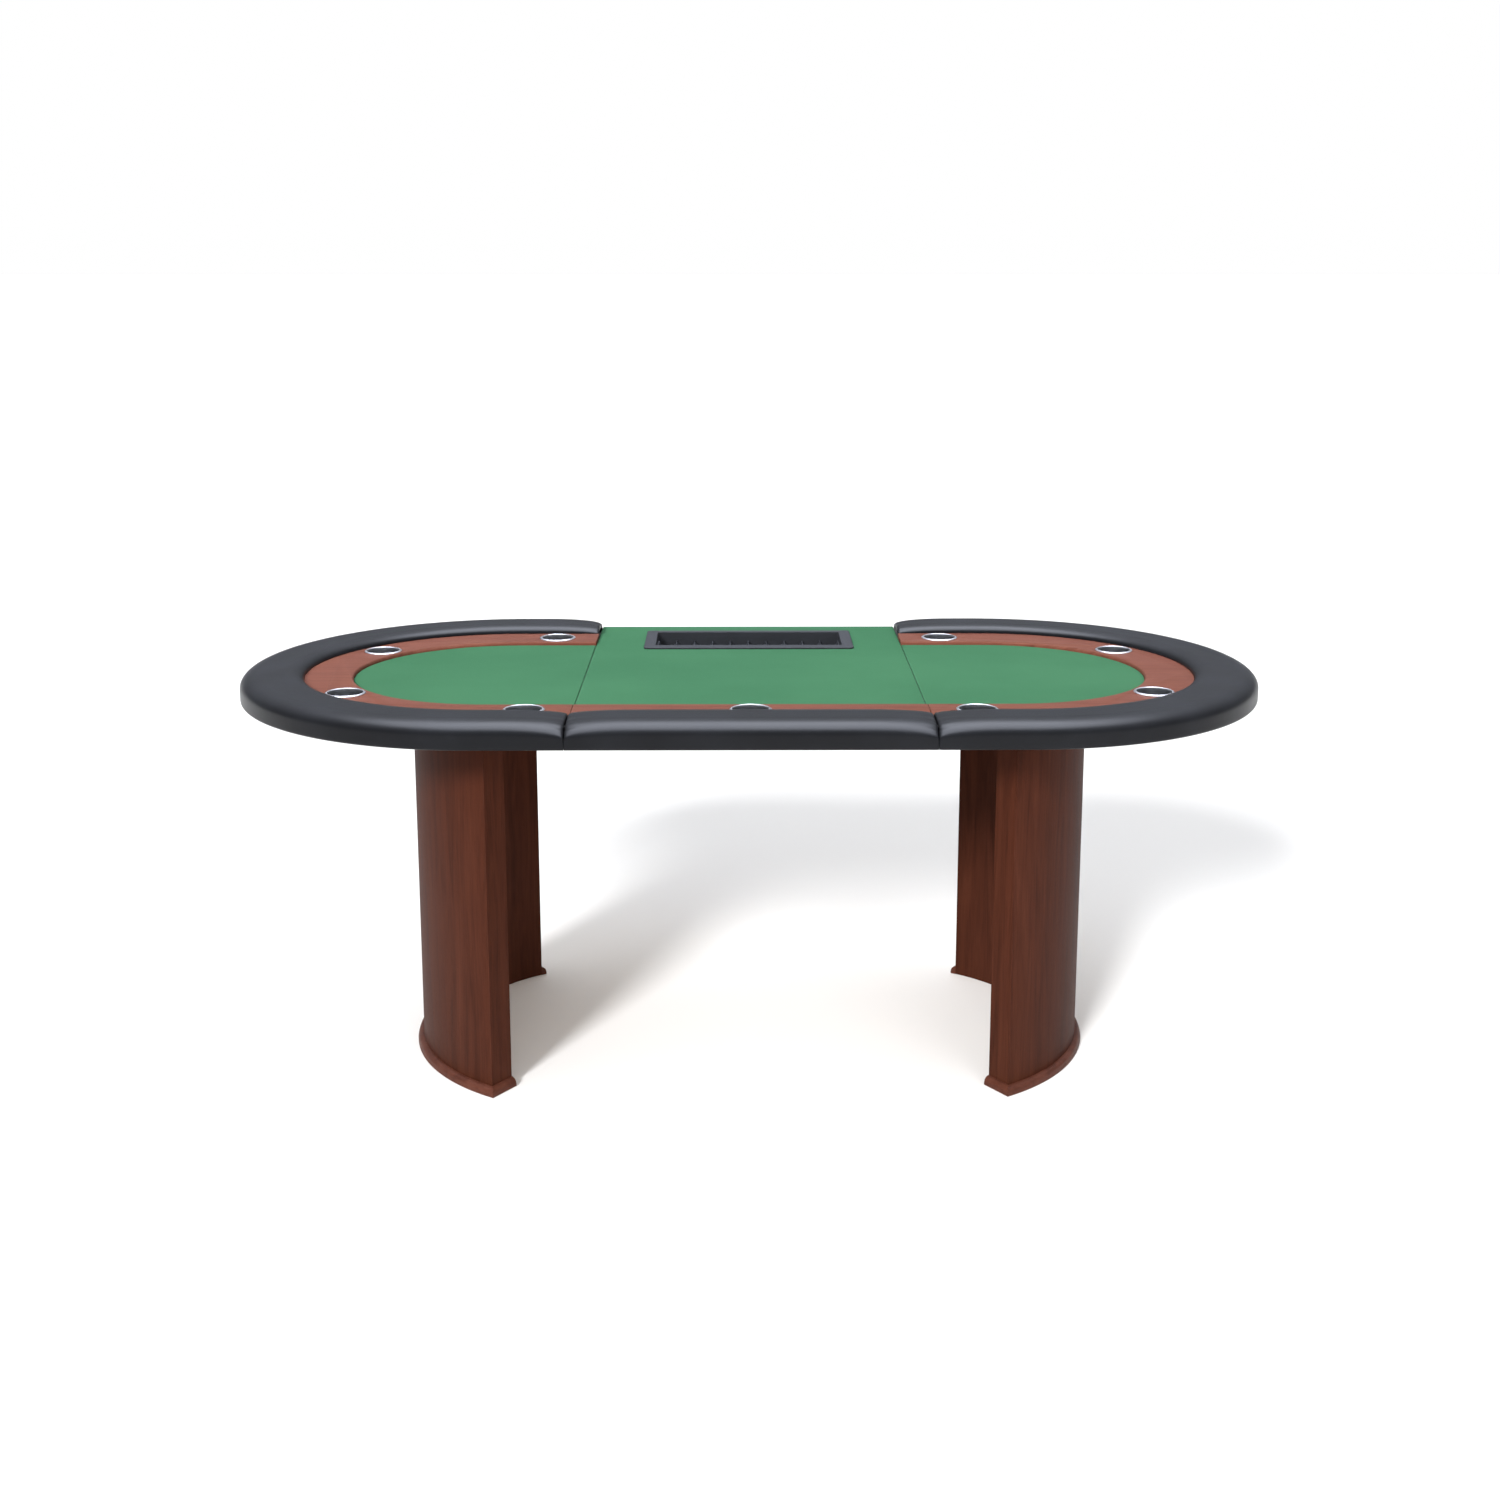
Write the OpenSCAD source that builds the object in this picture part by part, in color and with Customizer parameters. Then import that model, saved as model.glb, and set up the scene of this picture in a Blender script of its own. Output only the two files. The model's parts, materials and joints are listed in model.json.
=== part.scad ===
// Ten-seat oval poker table in three joined sections, on two curved panel legs.
// Origin on the floor under the middle of the top. +X runs along the table,
// -Y is the players' long side, +Y is the dealer's side, +Z is up.

/* [Table top] */
// Overall length of the table
table_l = 2080; // [1900:10:2400]
// Overall width of the table
table_w = 1060; // [1040:10:1120]
// Height of the rail's crown above the floor
table_h = 800; // [740:5:820]
// Length of the centre section between the two seams
centre_l = 680; // [620:10:720]
// Gap at each seam between two sections
seam_gap = 1; // [0.6:0.1:2]

/* [Layers] */
// Thickness of the plywood boards
board_t = 19; // [16:1:22]
// Thickness of the foam under the cloth
foam_t = 8; // [5:1:10]
// Thickness of the playing cloth
cloth_t = 2; // [1:0.5:2]
// Thickness of the wooden racetrack
track_t = 17; // [14:1:18]
// Width of the racetrack, from the cloth to the padded rail
track_w = 98; // [94:1:104]
// Radius of the racetrack's inner top edge
track_edge_r = 5; // [2:0.5:7]

/* [Padded rail] */
// Width of the padded rail
rail_w = 127; // [120:1:135]
// Height of the padded rail from its underside to its crown
rail_t = 54; // [50:1:60]
// Radius of the rail's outer shoulder
rail_outer_r = 27; // [22:1:30]
// Radius of the rail's inner shoulder
rail_inner_r = 15; // [10:1:16]
// Thickness of the padding beside and above the wooden core
rail_pad_t = 18; // [14:1:20]

/* [Cups and chip tray] */
// Radius of a cup's rolled rim
cup_rim_r = 40; // [39:0.5:42]
// Outside radius of a cup's body
cup_r = 35; // [34:0.5:36]
// Depth of a cup below its rim
cup_d = 70; // [50:1:75]
// Wall of a cup
cup_wall = 1; // [0.8:0.1:1.5]
// Number of chip troughs in the tray
trough_n = 10; // [8:1:10]
// Spacing of the chip troughs
trough_pitch = 41; // [40.5:0.5:41]
// Radius of a chip trough
trough_r = 20.25; // [20:0.25:20.5]
// Length of the chip troughs
trough_l = 150; // [130:1:152]

/* [Legs] */
// Outside radius of a curved leg panel
leg_r = 423; // [400:1:430]
// Thickness of a leg from its outer skin to its inner skin
leg_t = 58; // [50:1:64]
// Distance of each leg's centre of curvature from the middle of the table
leg_x = 271; // [255:1:280]
// Half of the angle that a leg panel spans
leg_half_a = 55.6; // [50:0.1:58]
// How far the base moulding stands proud of the leg
moulding_t = 12.5; // [8:0.5:14]
// Height of the base moulding
moulding_h = 18; // [14:1:24]

/* [Hidden] */
$fn = 96;

// Plan of the top: a stadium whose ends are half circles about (arc_x, 0)
end_r = table_w / 2;
arc_x = table_l / 2 - end_r;
seam_x = centre_l / 2;
half_gap = seam_gap / 2;
rail_inner = end_r - rail_w;
track_inner = rail_inner - track_w;
board_edge_r = end_r - rail_pad_t;

// Heights, from the crown of the rail down
top_under_z = table_h - rail_t;
board_top_z = top_under_z + board_t;
foam_top_z = board_top_z + foam_t;
cloth_top_z = foam_top_z + cloth_t;
track_top_z = board_top_z + track_t;
core_h = 20;
rail_foot_r = 6;
pad_rounds = [
    [rail_inner + half_gap + rail_inner_r, table_h - rail_inner_r, rail_inner_r],
    [end_r - rail_outer_r, table_h - rail_outer_r, rail_outer_r],
    [end_r - rail_foot_r, top_under_z + rail_foot_r, rail_foot_r]
];

// Cups: two on the straight run of each wing side, two on its curve, one in front
cup_ring_r = (track_inner + rail_inner) / 2;
cup_hole_r = cup_r + 0.6;
cup_straight_x = arc_x - 80;
cup_arc_a = 36;
rim_h = 2.4;
wing_cups = [
    [cup_straight_x, -cup_ring_r],
    [arc_x + cup_ring_r * cos(cup_arc_a), -cup_ring_r * sin(cup_arc_a)],
    [arc_x + cup_ring_r * cos(cup_arc_a), cup_ring_r * sin(cup_arc_a)],
    [cup_straight_x, cup_ring_r]
];

// Chip tray, let into the dealer's side
tray_inner_w = trough_n * trough_pitch + 4;
tray_y = 364;
tray_wall = 3;
flange_side = 25;
flange_front = 32;
flange_rear = 22;
flange_t = 3.5;
flange_corner_r = 10;
ridge_z = cloth_top_z + flange_t - 20;
trough_z = ridge_z + 5;
tray_bottom_z = trough_z - trough_r - 2.5;
tray_cut_w = tray_inner_w + 2 * tray_wall + 2;
tray_cut_l = trough_l + 2 * tray_wall + 2;

// Dowels and bolts
dowel_r = 5;
dowel_l = 60;
dowel_ys = [-420, -140, 140, 420];
dowel_z = top_under_z + board_t / 2;
dowel_fit = 0.05;
bolt_r = 3;
bolt_ring_r = (rail_inner + board_edge_r) / 2;
bolt_head_r = 7;
bolt_head_h = 3.5;
bolt_reach = board_t + 14;
bolt_angles = [-90, -45, 0, 45, 90];

// Rotating hook latches under the seams
latch_y = 230;
latch_reach = 50;
latch_pivot_x = seam_x + 32;
latch_plate_t = 2;
latch_pin_r = 4;
latch_bore_r = latch_pin_r + 0.05;
latch_stud_r = 4;
latch_slot_r = latch_stud_r + 0.5;
hook_t = 5;
hook_gap = 0.4;
hook_top_z = top_under_z - latch_plate_t - hook_gap;
pin_head_r = 7;
pin_head_h = 1.6;
latch_screw_r = 1.75;
latch_screw_xs = [-17, 17];
strike_screw_ys = [-13, 13];

// Legs
leg_inner_r = leg_r - leg_t;
skin_t = 6;
core_outer_r = leg_r - skin_t;
core_inner_r = leg_inner_r + skin_t;
post_a = 4.5;
rib_angles = [-38, 0, 38];
rib_w = 30;
plate_t = 15;
base_step_h = 6;
bracket_w = 40;
bracket_l = 45;
bracket_t = 3;
bracket_face_r = leg_inner_r - 0.7;
screw_r = 2;
screw_head_r = 4;
screw_head_h = 2.2;
screw_bite = 14;
// Angle that the moulding's thickness takes up at the leg's outer radius
mitre_a = asin(moulding_t / leg_r);
bracket_holes = [14, 32];

// ---- Plans and sweeps ----

// Half of a stadium of end radius r, from the seam out to the right end
module wing_plan(r) {
    intersection() {
        union() {
            translate([arc_x, 0]) circle(r = r, $fn = 128);
            translate([0, -r]) square([arc_x, 2 * r]);
        }
        translate([seam_x + half_gap, -r]) square([table_l, 2 * r]);
    }
}

// Sweeps a section, drawn with its distance from the table's spine along x
// and its height along y, round the right wing
module wing_sweep() {
    translate([arc_x, 0, 0])
        rotate([0, 0, -90])
            rotate_extrude(angle = 180, $fn = 128) children();
    for (turned = [0, 1])
        mirror([0, turned, 0])
            translate([seam_x + half_gap, 0, 0])
                rotate([90, 0, 90])
                    linear_extrude(arc_x - seam_x - half_gap) children();
}

// Runs a section straight along the front of the centre section
module front_sweep() {
    mirror([0, 1, 0])
        translate([-seam_x + half_gap, 0, 0])
            rotate([90, 0, 90])
                linear_extrude(centre_l - seam_gap) children();
}

// Puts what is drawn for the right side on the left side instead
module on_side(side) {
    mirror([side < 0 ? 1 : 0, 0, 0]) children();
}

module cup_holes() {
    for (place = wing_cups)
        translate([place[0], place[1], top_under_z - 1])
            cylinder(h = table_h - top_under_z, r = cup_hole_r);
}

module front_cup_hole() {
    translate([0, -cup_ring_r, top_under_z - 1])
        cylinder(h = table_h - top_under_z, r = cup_hole_r);
}

module dowels(r, l) {
    for (y = dowel_ys)
        translate([seam_x - l / 2, y, dowel_z])
            rotate([0, 90, 0]) cylinder(h = l, r = r, $fn = 32);
}

module at_wing_bolts() {
    for (a = bolt_angles)
        translate([arc_x + bolt_ring_r * cos(a), bolt_ring_r * sin(a), top_under_z]) children();
}

module at_front_bolts() {
    for (side = [-1, 1])
        translate([side * seam_x / 2, -bolt_ring_r, top_under_z]) children();
}

module bolt_hole() {
    translate([0, 0, -1]) cylinder(h = bolt_reach + 1.5, r = bolt_r + dowel_fit, $fn = 32);
}

module rail_bolt() {
    translate([0, 0, -bolt_head_h]) cylinder(h = bolt_head_h, r = bolt_head_r, $fn = 6);
    cylinder(h = bolt_reach, r = bolt_r, $fn = 32);
}

// ---- Boards, foam, cloth ----

module wing_board(side) {
    on_side(side) color("burlywood")
        difference() {
            translate([0, 0, top_under_z]) linear_extrude(board_t) wing_plan(board_edge_r);
            cup_holes();
            dowels(dowel_r + dowel_fit, dowel_l + 1);
            at_wing_bolts() bolt_hole();
            latch_plate_holes();
            bracket_board_holes();
        }
}

module tray_cut(z_low, z_high) {
    translate([-tray_cut_w / 2, tray_y - tray_cut_l / 2, z_low])
        cube([tray_cut_w, tray_cut_l, z_high - z_low]);
}

module board_centre() {
    color("burlywood")
        difference() {
            translate([-seam_x + half_gap, -board_edge_r, top_under_z])
                cube([centre_l - seam_gap, board_edge_r + end_r - cloth_t, board_t]);
            front_cup_hole();
            tray_cut(top_under_z - 1, board_top_z + 1);
            for (turned = [0, 1])
                mirror([turned, 0, 0]) dowels(dowel_r + dowel_fit, dowel_l + 1);
            at_front_bolts() bolt_hole();
            strike_plate_holes();
        }
}

module wing_layer(side, z, t) {
    on_side(side) translate([0, 0, z]) linear_extrude(t) wing_plan(track_inner - half_gap);
}

// A layer on the centre board, from the racetrack back to the rear edge, open at the chip tray
module centre_layer(z, t, rear_y) {
    difference() {
        translate([-seam_x + half_gap, -track_inner + half_gap, z])
            cube([centre_l - seam_gap, rear_y + track_inner - half_gap, t]);
        tray_cut(z - 1, z + t + 1);
    }
}

module foam_centre() {
    color("dimgray") centre_layer(board_top_z, foam_t, end_r - cloth_t);
}

// The cloth turns down over the board's rear edge
module cloth_centre() {
    color("forestgreen") {
        centre_layer(foam_top_z, cloth_t, end_r);
        translate([-seam_x + half_gap, end_r - cloth_t, top_under_z])
            cube([centre_l - seam_gap, cloth_t, cloth_top_z - top_under_z]);
    }
}

// ---- Racetrack and rail ----

module track_section() {
    difference() {
        translate([track_inner, board_top_z]) square([track_w, track_t]);
        translate([track_inner - 1, track_top_z - track_edge_r])
            square([track_edge_r + 1, track_edge_r + 1]);
    }
    intersection() {
        translate([track_inner + track_edge_r, track_top_z - track_edge_r])
            circle(r = track_edge_r, $fn = 48);
        translate([track_inner, track_top_z - track_edge_r]) square(track_edge_r);
    }
}

module wing_track(side) {
    on_side(side) color("sienna")
        difference() {
            wing_sweep() track_section();
            cup_holes();
        }
}

module track_centre() {
    color("sienna")
        difference() {
            front_sweep() track_section();
            front_cup_hole();
        }
}

// Section of the rail's core. The padding's hollow for it is drawn deeper by drop.
module core_section(drop = 0) {
    translate([rail_inner + 9, board_top_z - drop])
        square([board_edge_r - rail_inner - 16, core_h + drop]);
}

// Section of the rail's padding, its three rounded edges cut flat
module pad_block() {
    inner = rail_inner + half_gap;
    polygon([
        [inner, top_under_z],
        [inner, table_h - rail_inner_r],
        [inner + rail_inner_r, table_h],
        [end_r - rail_outer_r, table_h],
        [end_r, table_h - rail_outer_r],
        [end_r, top_under_z + rail_foot_r],
        [end_r - rail_foot_r, top_under_z]
    ]);
}

// The board's edge, which the padding wraps round
module pad_notch() {
    translate([rail_inner - 1, top_under_z - 1])
        square([board_edge_r - rail_inner + 1, board_t + 1]);
}

// One rounded edge of the padding, from its place in the section and its radius
module pad_round(edge) {
    translate([edge[0], edge[1]]) circle(r = edge[2]);
}

module wing_core(side) {
    on_side(side) color("peru")
        difference() {
            wing_sweep() core_section();
            at_wing_bolts() bolt_hole();
        }
}

module rail_core_centre() {
    color("peru")
        difference() {
            front_sweep() core_section();
            at_front_bolts() bolt_hole();
        }
}

module wing_pad(side) {
    on_side(side) color([0.09, 0.09, 0.11])
        difference() {
            union() {
                wing_sweep() pad_block();
                for (edge = pad_rounds)
                    wing_sweep() pad_round(edge);
            }
            wing_sweep() pad_notch();
            wing_sweep() core_section(1);
        }
}

module rail_pad_centre() {
    color([0.09, 0.09, 0.11])
        difference() {
            union() {
                front_sweep() pad_block();
                for (edge = pad_rounds)
                    front_sweep() pad_round(edge);
            }
            front_sweep() pad_notch();
            front_sweep() core_section(1);
        }
}

// ---- Cups and chip tray ----

module cup() {
    floor_r = 5;
    low = track_top_z - cup_d;
    color("silver")
        rotate_extrude($fn = 128)
            difference() {
                union() {
                    translate([0, low]) square([cup_r - floor_r, cup_d + rim_h - 0.4]);
                    translate([0, low + floor_r]) square([cup_r, cup_d + rim_h - 0.4 - floor_r]);
                    translate([cup_r - floor_r, low + floor_r]) circle(r = floor_r, $fn = 48);
                    translate([0, track_top_z]) square([cup_rim_r - rim_h / 2, rim_h]);
                    translate([cup_rim_r - rim_h / 2, track_top_z + rim_h / 2])
                        circle(r = rim_h / 2, $fn = 32);
                }
                translate([-1, low + cup_wall])
                    square([cup_r - floor_r + 1, cup_d + rim_h]);
                translate([0, low + floor_r]) square([cup_r - cup_wall, cup_d + rim_h]);
                translate([cup_r - floor_r, low + floor_r])
                    circle(r = floor_r - cup_wall, $fn = 48);
                translate([-cup_r, 0]) square([cup_r, table_h + 10]);
            }
}

module wing_cup(side, place) {
    translate([side * wing_cups[place][0], wing_cups[place][1], 0]) cup();
}

module rounded_plate(size_x, size_y, r, t) {
    linear_extrude(t)
        union() {
            translate([r, 0]) square([size_x - 2 * r, size_y]);
            translate([0, r]) square([size_x, size_y - 2 * r]);
            for (x = [r, size_x - r], y = [r, size_y - r])
                translate([x, y]) circle(r = r, $fn = 48);
        }
}

module chip_tray() {
    outer_w = tray_inner_w + 2 * flange_side;
    front_y = tray_y - trough_l / 2;
    well_w = tray_inner_w + 2 * tray_wall;
    well_l = trough_l + 2 * tray_wall;
    color([0.2, 0.2, 0.22])
        difference() {
            union() {
                translate([-outer_w / 2, front_y - flange_front, cloth_top_z])
                    rounded_plate(outer_w, trough_l + flange_front + flange_rear, flange_corner_r,
                                  flange_t);
                translate([-well_w / 2, tray_y - well_l / 2, tray_bottom_z])
                    cube([well_w, well_l, cloth_top_z - tray_bottom_z]);
            }
            translate([-tray_inner_w / 2, front_y, ridge_z])
                cube([tray_inner_w, trough_l, 40]);
            for (trough = [0 : trough_n - 1])
                translate([(trough - (trough_n - 1) / 2) * trough_pitch, front_y, trough_z])
                    rotate([-90, 0, 0]) cylinder(h = trough_l, r = trough_r, $fn = 64);
        }
}

// ---- Seam hardware ----

module seam_dowels() {
    color("tan")
        for (turned = [0, 1])
            mirror([turned, 0, 0]) dowels(dowel_r, dowel_l);
}

module rail_bolts() {
    color("gray") {
        for (side = [-1, 1])
            on_side(side) at_wing_bolts() rail_bolt();
        at_front_bolts() rail_bolt();
    }
}

module at_latches_of_side() {
    for (y = [-latch_y, latch_y])
        translate([0, y, 0]) children();
}

module latch_plate_holes() {
    at_latches_of_side()
        for (x = latch_screw_xs)
            translate([latch_pivot_x + x, 0, top_under_z - 1])
                cylinder(h = 13, r = latch_screw_r + dowel_fit, $fn = 32);
}

module strike_plate_holes() {
    for (turned = [0, 1])
        mirror([turned, 0, 0])
            at_latches_of_side()
                for (y = strike_screw_ys)
                    translate([latch_pivot_x - latch_reach, y, top_under_z - 1])
                        cylinder(h = 13, r = latch_screw_r + dowel_fit, $fn = 32);
}

module latch_plates() {
    color("gainsboro")
        for (side = [-1, 1])
            on_side(side)
                at_latches_of_side() {
                    difference() {
                        translate([latch_pivot_x - 24, -12, top_under_z - latch_plate_t])
                            cube([48, 24, latch_plate_t]);
                        for (x = latch_screw_xs)
                            translate([latch_pivot_x + x, 0, top_under_z - 5])
                                cylinder(h = 10, r = latch_screw_r + dowel_fit, $fn = 32);
                    }
                    pin_low = hook_top_z - hook_t - hook_gap;
                    translate([latch_pivot_x, 0, pin_low])
                        cylinder(h = top_under_z - 1 - pin_low, r = latch_pin_r);
                    translate([latch_pivot_x, 0, pin_low - pin_head_h])
                        cylinder(h = pin_head_h, r = pin_head_r);
                }
}

module latch_strikes() {
    stud_low = hook_top_z - hook_t - 2;
    color("gainsboro")
        for (side = [-1, 1])
            on_side(side)
                at_latches_of_side() {
                    difference() {
                        translate([latch_pivot_x - latch_reach - 8, -19, top_under_z - latch_plate_t])
                            cube([16, 38, latch_plate_t]);
                        for (y = strike_screw_ys)
                            translate([latch_pivot_x - latch_reach, y, top_under_z - 5])
                                cylinder(h = 10, r = latch_screw_r + dowel_fit, $fn = 32);
                    }
                    translate([latch_pivot_x - latch_reach, 0, stud_low])
                        cylinder(h = top_under_z - 1 - stud_low, r = latch_stud_r);
                }
}

// Countersunk screws, their heads let into the plates
module latch_screw() {
    translate([0, 0, -latch_plate_t]) cylinder(h = 12, r = latch_screw_r, $fn = 32);
}

module latch_screws() {
    color("darkgray")
        for (side = [-1, 1])
            on_side(side)
                at_latches_of_side() {
                    for (x = latch_screw_xs)
                        translate([latch_pivot_x + x, 0, top_under_z]) latch_screw();
                    for (y = strike_screw_ys)
                        translate([latch_pivot_x - latch_reach, y, top_under_z]) latch_screw();
                }
}

// A hook that turns about a pin and closes round a stud, drawn with its pivot at the
// origin, its arm along -X, and its slot open towards +Y
module hook_plan() {
    wrap_r = 7;
    difference() {
        union() {
            circle(r = 13);
            translate([-latch_reach, -9]) square([latch_reach, 18]);
            translate([-latch_reach, 0]) circle(r = latch_slot_r + wrap_r);
            intersection() {
                difference() {
                    circle(r = latch_reach + latch_slot_r + wrap_r);
                    circle(r = latch_reach - latch_slot_r - wrap_r);
                }
                polygon([[0, 0], [-80, 0], [-80, 22]]);
            }
            translate([0, -7]) square([45, 14]);
            translate([45, 0]) circle(r = 11);
        }
        circle(r = latch_bore_r);
        translate([-latch_reach, 0]) circle(r = latch_slot_r);
        intersection() {
            difference() {
                circle(r = latch_reach + latch_slot_r);
                circle(r = latch_reach - latch_slot_r);
            }
            polygon([[0, 0], [-90, 0], [-90, 60]]);
        }
    }
}

module latch_hook(side, row) {
    color("silver")
        on_side(side)
            translate([latch_pivot_x, row * latch_y, hook_top_z - hook_t])
                linear_extrude(hook_t)
                    mirror([0, row < 0 ? 1 : 0]) hook_plan();
}

// ---- Legs: drawn for the right side, about (leg_x, 0) ----

// Curved wall between two radii, from angle a0 to a1, and between two heights
module arc_wall(r_low, r_high, a0, a1, z_low, z_high) {
    translate([leg_x, 0, z_low])
        rotate([0, 0, a0])
            rotate_extrude(angle = a1 - a0, $fn = 128)
                translate([r_low, 0]) square([r_high - r_low, z_high - z_low]);
}

module at_ribs() {
    for (a = rib_angles)
        translate([leg_x, 0, 0]) rotate([0, 0, a]) children();
}

module bracket_board_holes() {
    at_ribs()
        for (d = bracket_holes)
            translate([bracket_face_r - d, 0, top_under_z - 1])
                cylinder(h = screw_bite + 2, r = screw_r + dowel_fit, $fn = 32);
}

module bracket_leg_holes() {
    at_ribs()
        for (d = bracket_holes)
            translate([bracket_face_r, 0, top_under_z - d])
                rotate([0, 90, 0]) cylinder(h = screw_bite + 1.5, r = screw_r + dowel_fit, $fn = 32);
}

module leg_outer_skin(side) {
    on_side(side) color([0.33, 0.16, 0.12])
        arc_wall(core_outer_r, leg_r, -leg_half_a, leg_half_a, 0, top_under_z);
}

module leg_inner_skin(side) {
    on_side(side) color([0.33, 0.16, 0.12])
        difference() {
            arc_wall(leg_inner_r, core_inner_r, -leg_half_a, leg_half_a, 0, top_under_z);
            bracket_leg_holes();
        }
}

module leg_end_posts(side) {
    on_side(side) color([0.36, 0.17, 0.13])
        for (turned = [0, 1])
            mirror([0, turned, 0])
                arc_wall(core_inner_r, core_outer_r, leg_half_a - post_a, leg_half_a, 0, top_under_z);
}

module leg_ribs(side) {
    on_side(side) color("tan")
        difference() {
            intersection() {
                arc_wall(core_inner_r, core_outer_r, -leg_half_a, leg_half_a,
                         plate_t, top_under_z - plate_t);
                at_ribs()
                    translate([core_inner_r - 10, -rib_w / 2, 0])
                        cube([leg_t + 20, rib_w, top_under_z]);
            }
            bracket_leg_holes();
        }
}

module leg_plate(side, z) {
    plate_a = leg_half_a - post_a;
    on_side(side) color("tan")
        arc_wall(core_inner_r, core_outer_r, -plate_a, plate_a, z, z + plate_t);
}

module leg_top_plate(side) {
    difference() {
        leg_plate(side, top_under_z - plate_t);
        on_side(side) bracket_leg_holes();
    }
}

// Section of the base moulding: a plain foot with a quarter round on it
module moulding_section() {
    round_r = moulding_h - base_step_h;
    square([moulding_t, base_step_h]);
    intersection() {
        translate([moulding_t - round_r, base_step_h]) circle(r = round_r, $fn = 64);
        translate([0, base_step_h - 1]) square([moulding_t, round_r + 1]);
    }
}

module leg_moulding(side) {
    on_side(side) color([0.42, 0.22, 0.17])
        translate([leg_x, 0, 0])
            difference() {
                rotate([0, 0, -leg_half_a - mitre_a])
                    rotate_extrude(angle = 2 * (leg_half_a + mitre_a), $fn = 128)
                        translate([leg_r, 0]) moulding_section();
                mitre_cutters();
            }
}

// Wedges past the mitre lines, one at each end of the leg
module mitre_cutters() {
    for (turned = [0, 1])
        mirror([0, turned, 0])
            rotate([0, 0, leg_half_a])
                translate([leg_r, 0, -1])
                    linear_extrude(moulding_h + 2)
                        polygon([[-1, -1], [-1, 60], [59, 60], [59, 59]]);
}

module leg_moulding_ends(side) {
    on_side(side) color([0.42, 0.22, 0.17])
        translate([leg_x, 0, 0])
            for (turned = [0, 1])
                mirror([0, turned, 0])
                    rotate([0, 0, leg_half_a])
                        difference() {
                            translate([leg_inner_r, 0, 0])
                                rotate([90, 0, 90])
                                    linear_extrude(leg_t + moulding_t) moulding_section();
                            translate([leg_r, 0, -1])
                                linear_extrude(moulding_h + 2)
                                    polygon([[-0.02, 0], [60, -1], [60, 60]]);
                        }
}

module leg_brackets(side) {
    on_side(side) color("silver")
        at_ribs()
            difference() {
                union() {
                    translate([bracket_face_r - bracket_t, -bracket_w / 2, top_under_z - bracket_l])
                        cube([bracket_t, bracket_w, bracket_l]);
                    translate([bracket_face_r - bracket_l, -bracket_w / 2, top_under_z - bracket_t])
                        cube([bracket_l, bracket_w, bracket_t]);
                }
                for (d = bracket_holes) {
                    translate([bracket_face_r - d, 0, top_under_z - bracket_t - 1])
                        cylinder(h = bracket_t + 2, r = screw_r + dowel_fit, $fn = 32);
                    translate([bracket_face_r - bracket_t - 1, 0, top_under_z - d])
                        rotate([0, 90, 0]) cylinder(h = bracket_t + 2, r = screw_r + dowel_fit, $fn = 32);
                }
            }
}

// A pan-head screw, its head below z = 0 and its shank above
module pan_screw() {
    translate([0, 0, -screw_head_h]) cylinder(h = screw_head_h, r = screw_head_r, $fn = 32);
    cylinder(h = screw_bite + bracket_t, r = screw_r, $fn = 32);
}

module leg_screws(side) {
    on_side(side) color("darkgray")
        at_ribs()
            for (d = bracket_holes) {
                translate([bracket_face_r - d, 0, top_under_z - bracket_t]) pan_screw();
                translate([bracket_face_r - bracket_t, 0, top_under_z - d])
                    rotate([0, 90, 0]) pan_screw();
            }
}

wing_board(-1);  // board_left
board_centre();
wing_board(1);  // board_right
color("dimgray") wing_layer(-1, board_top_z, foam_t);  // foam_left
foam_centre();
color("dimgray") wing_layer(1, board_top_z, foam_t);  // foam_right
color("forestgreen") wing_layer(-1, foam_top_z, cloth_t);  // cloth_left
cloth_centre();
color("forestgreen") wing_layer(1, foam_top_z, cloth_t);  // cloth_right
wing_track(-1);  // track_left
track_centre();
wing_track(1);  // track_right
wing_core(-1);  // rail_core_left
rail_core_centre();
wing_core(1);  // rail_core_right
wing_pad(-1);  // rail_pad_left
rail_pad_centre();
wing_pad(1);  // rail_pad_right
wing_cup(-1, 0);  // cup_left_1
wing_cup(-1, 1);  // cup_left_2
wing_cup(-1, 2);  // cup_left_3
wing_cup(-1, 3);  // cup_left_4
wing_cup(1, 0);  // cup_right_1
wing_cup(1, 1);  // cup_right_2
wing_cup(1, 2);  // cup_right_3
wing_cup(1, 3);  // cup_right_4
translate([0, -cup_ring_r, 0]) cup();  // cup_front
chip_tray();
seam_dowels();
rail_bolts();
latch_plates();
latch_strikes();
latch_screws();
latch_hook(-1, -1);  // latch_hook_1
latch_hook(-1, 1);  // latch_hook_2
latch_hook(1, -1);  // latch_hook_3
latch_hook(1, 1);  // latch_hook_4
leg_outer_skin(-1);  // leg_left_outer_skin
leg_inner_skin(-1);  // leg_left_inner_skin
leg_end_posts(-1);  // leg_left_end_posts
leg_ribs(-1);  // leg_left_ribs
leg_top_plate(-1);  // leg_left_top_plate
leg_plate(-1, 0);  // leg_left_base_plate
leg_moulding(-1);  // leg_left_moulding
leg_moulding_ends(-1);  // leg_left_moulding_ends
leg_brackets(-1);  // leg_left_brackets
leg_screws(-1);  // leg_left_screws
leg_outer_skin(1);  // leg_right_outer_skin
leg_inner_skin(1);  // leg_right_inner_skin
leg_end_posts(1);  // leg_right_end_posts
leg_ribs(1);  // leg_right_ribs
leg_top_plate(1);  // leg_right_top_plate
leg_plate(1, 0);  // leg_right_base_plate
leg_moulding(1);  // leg_right_moulding
leg_moulding_ends(1);  // leg_right_moulding_ends
leg_brackets(1);  // leg_right_brackets
leg_screws(1);  // leg_right_screws
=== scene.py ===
import json
import math

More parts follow.
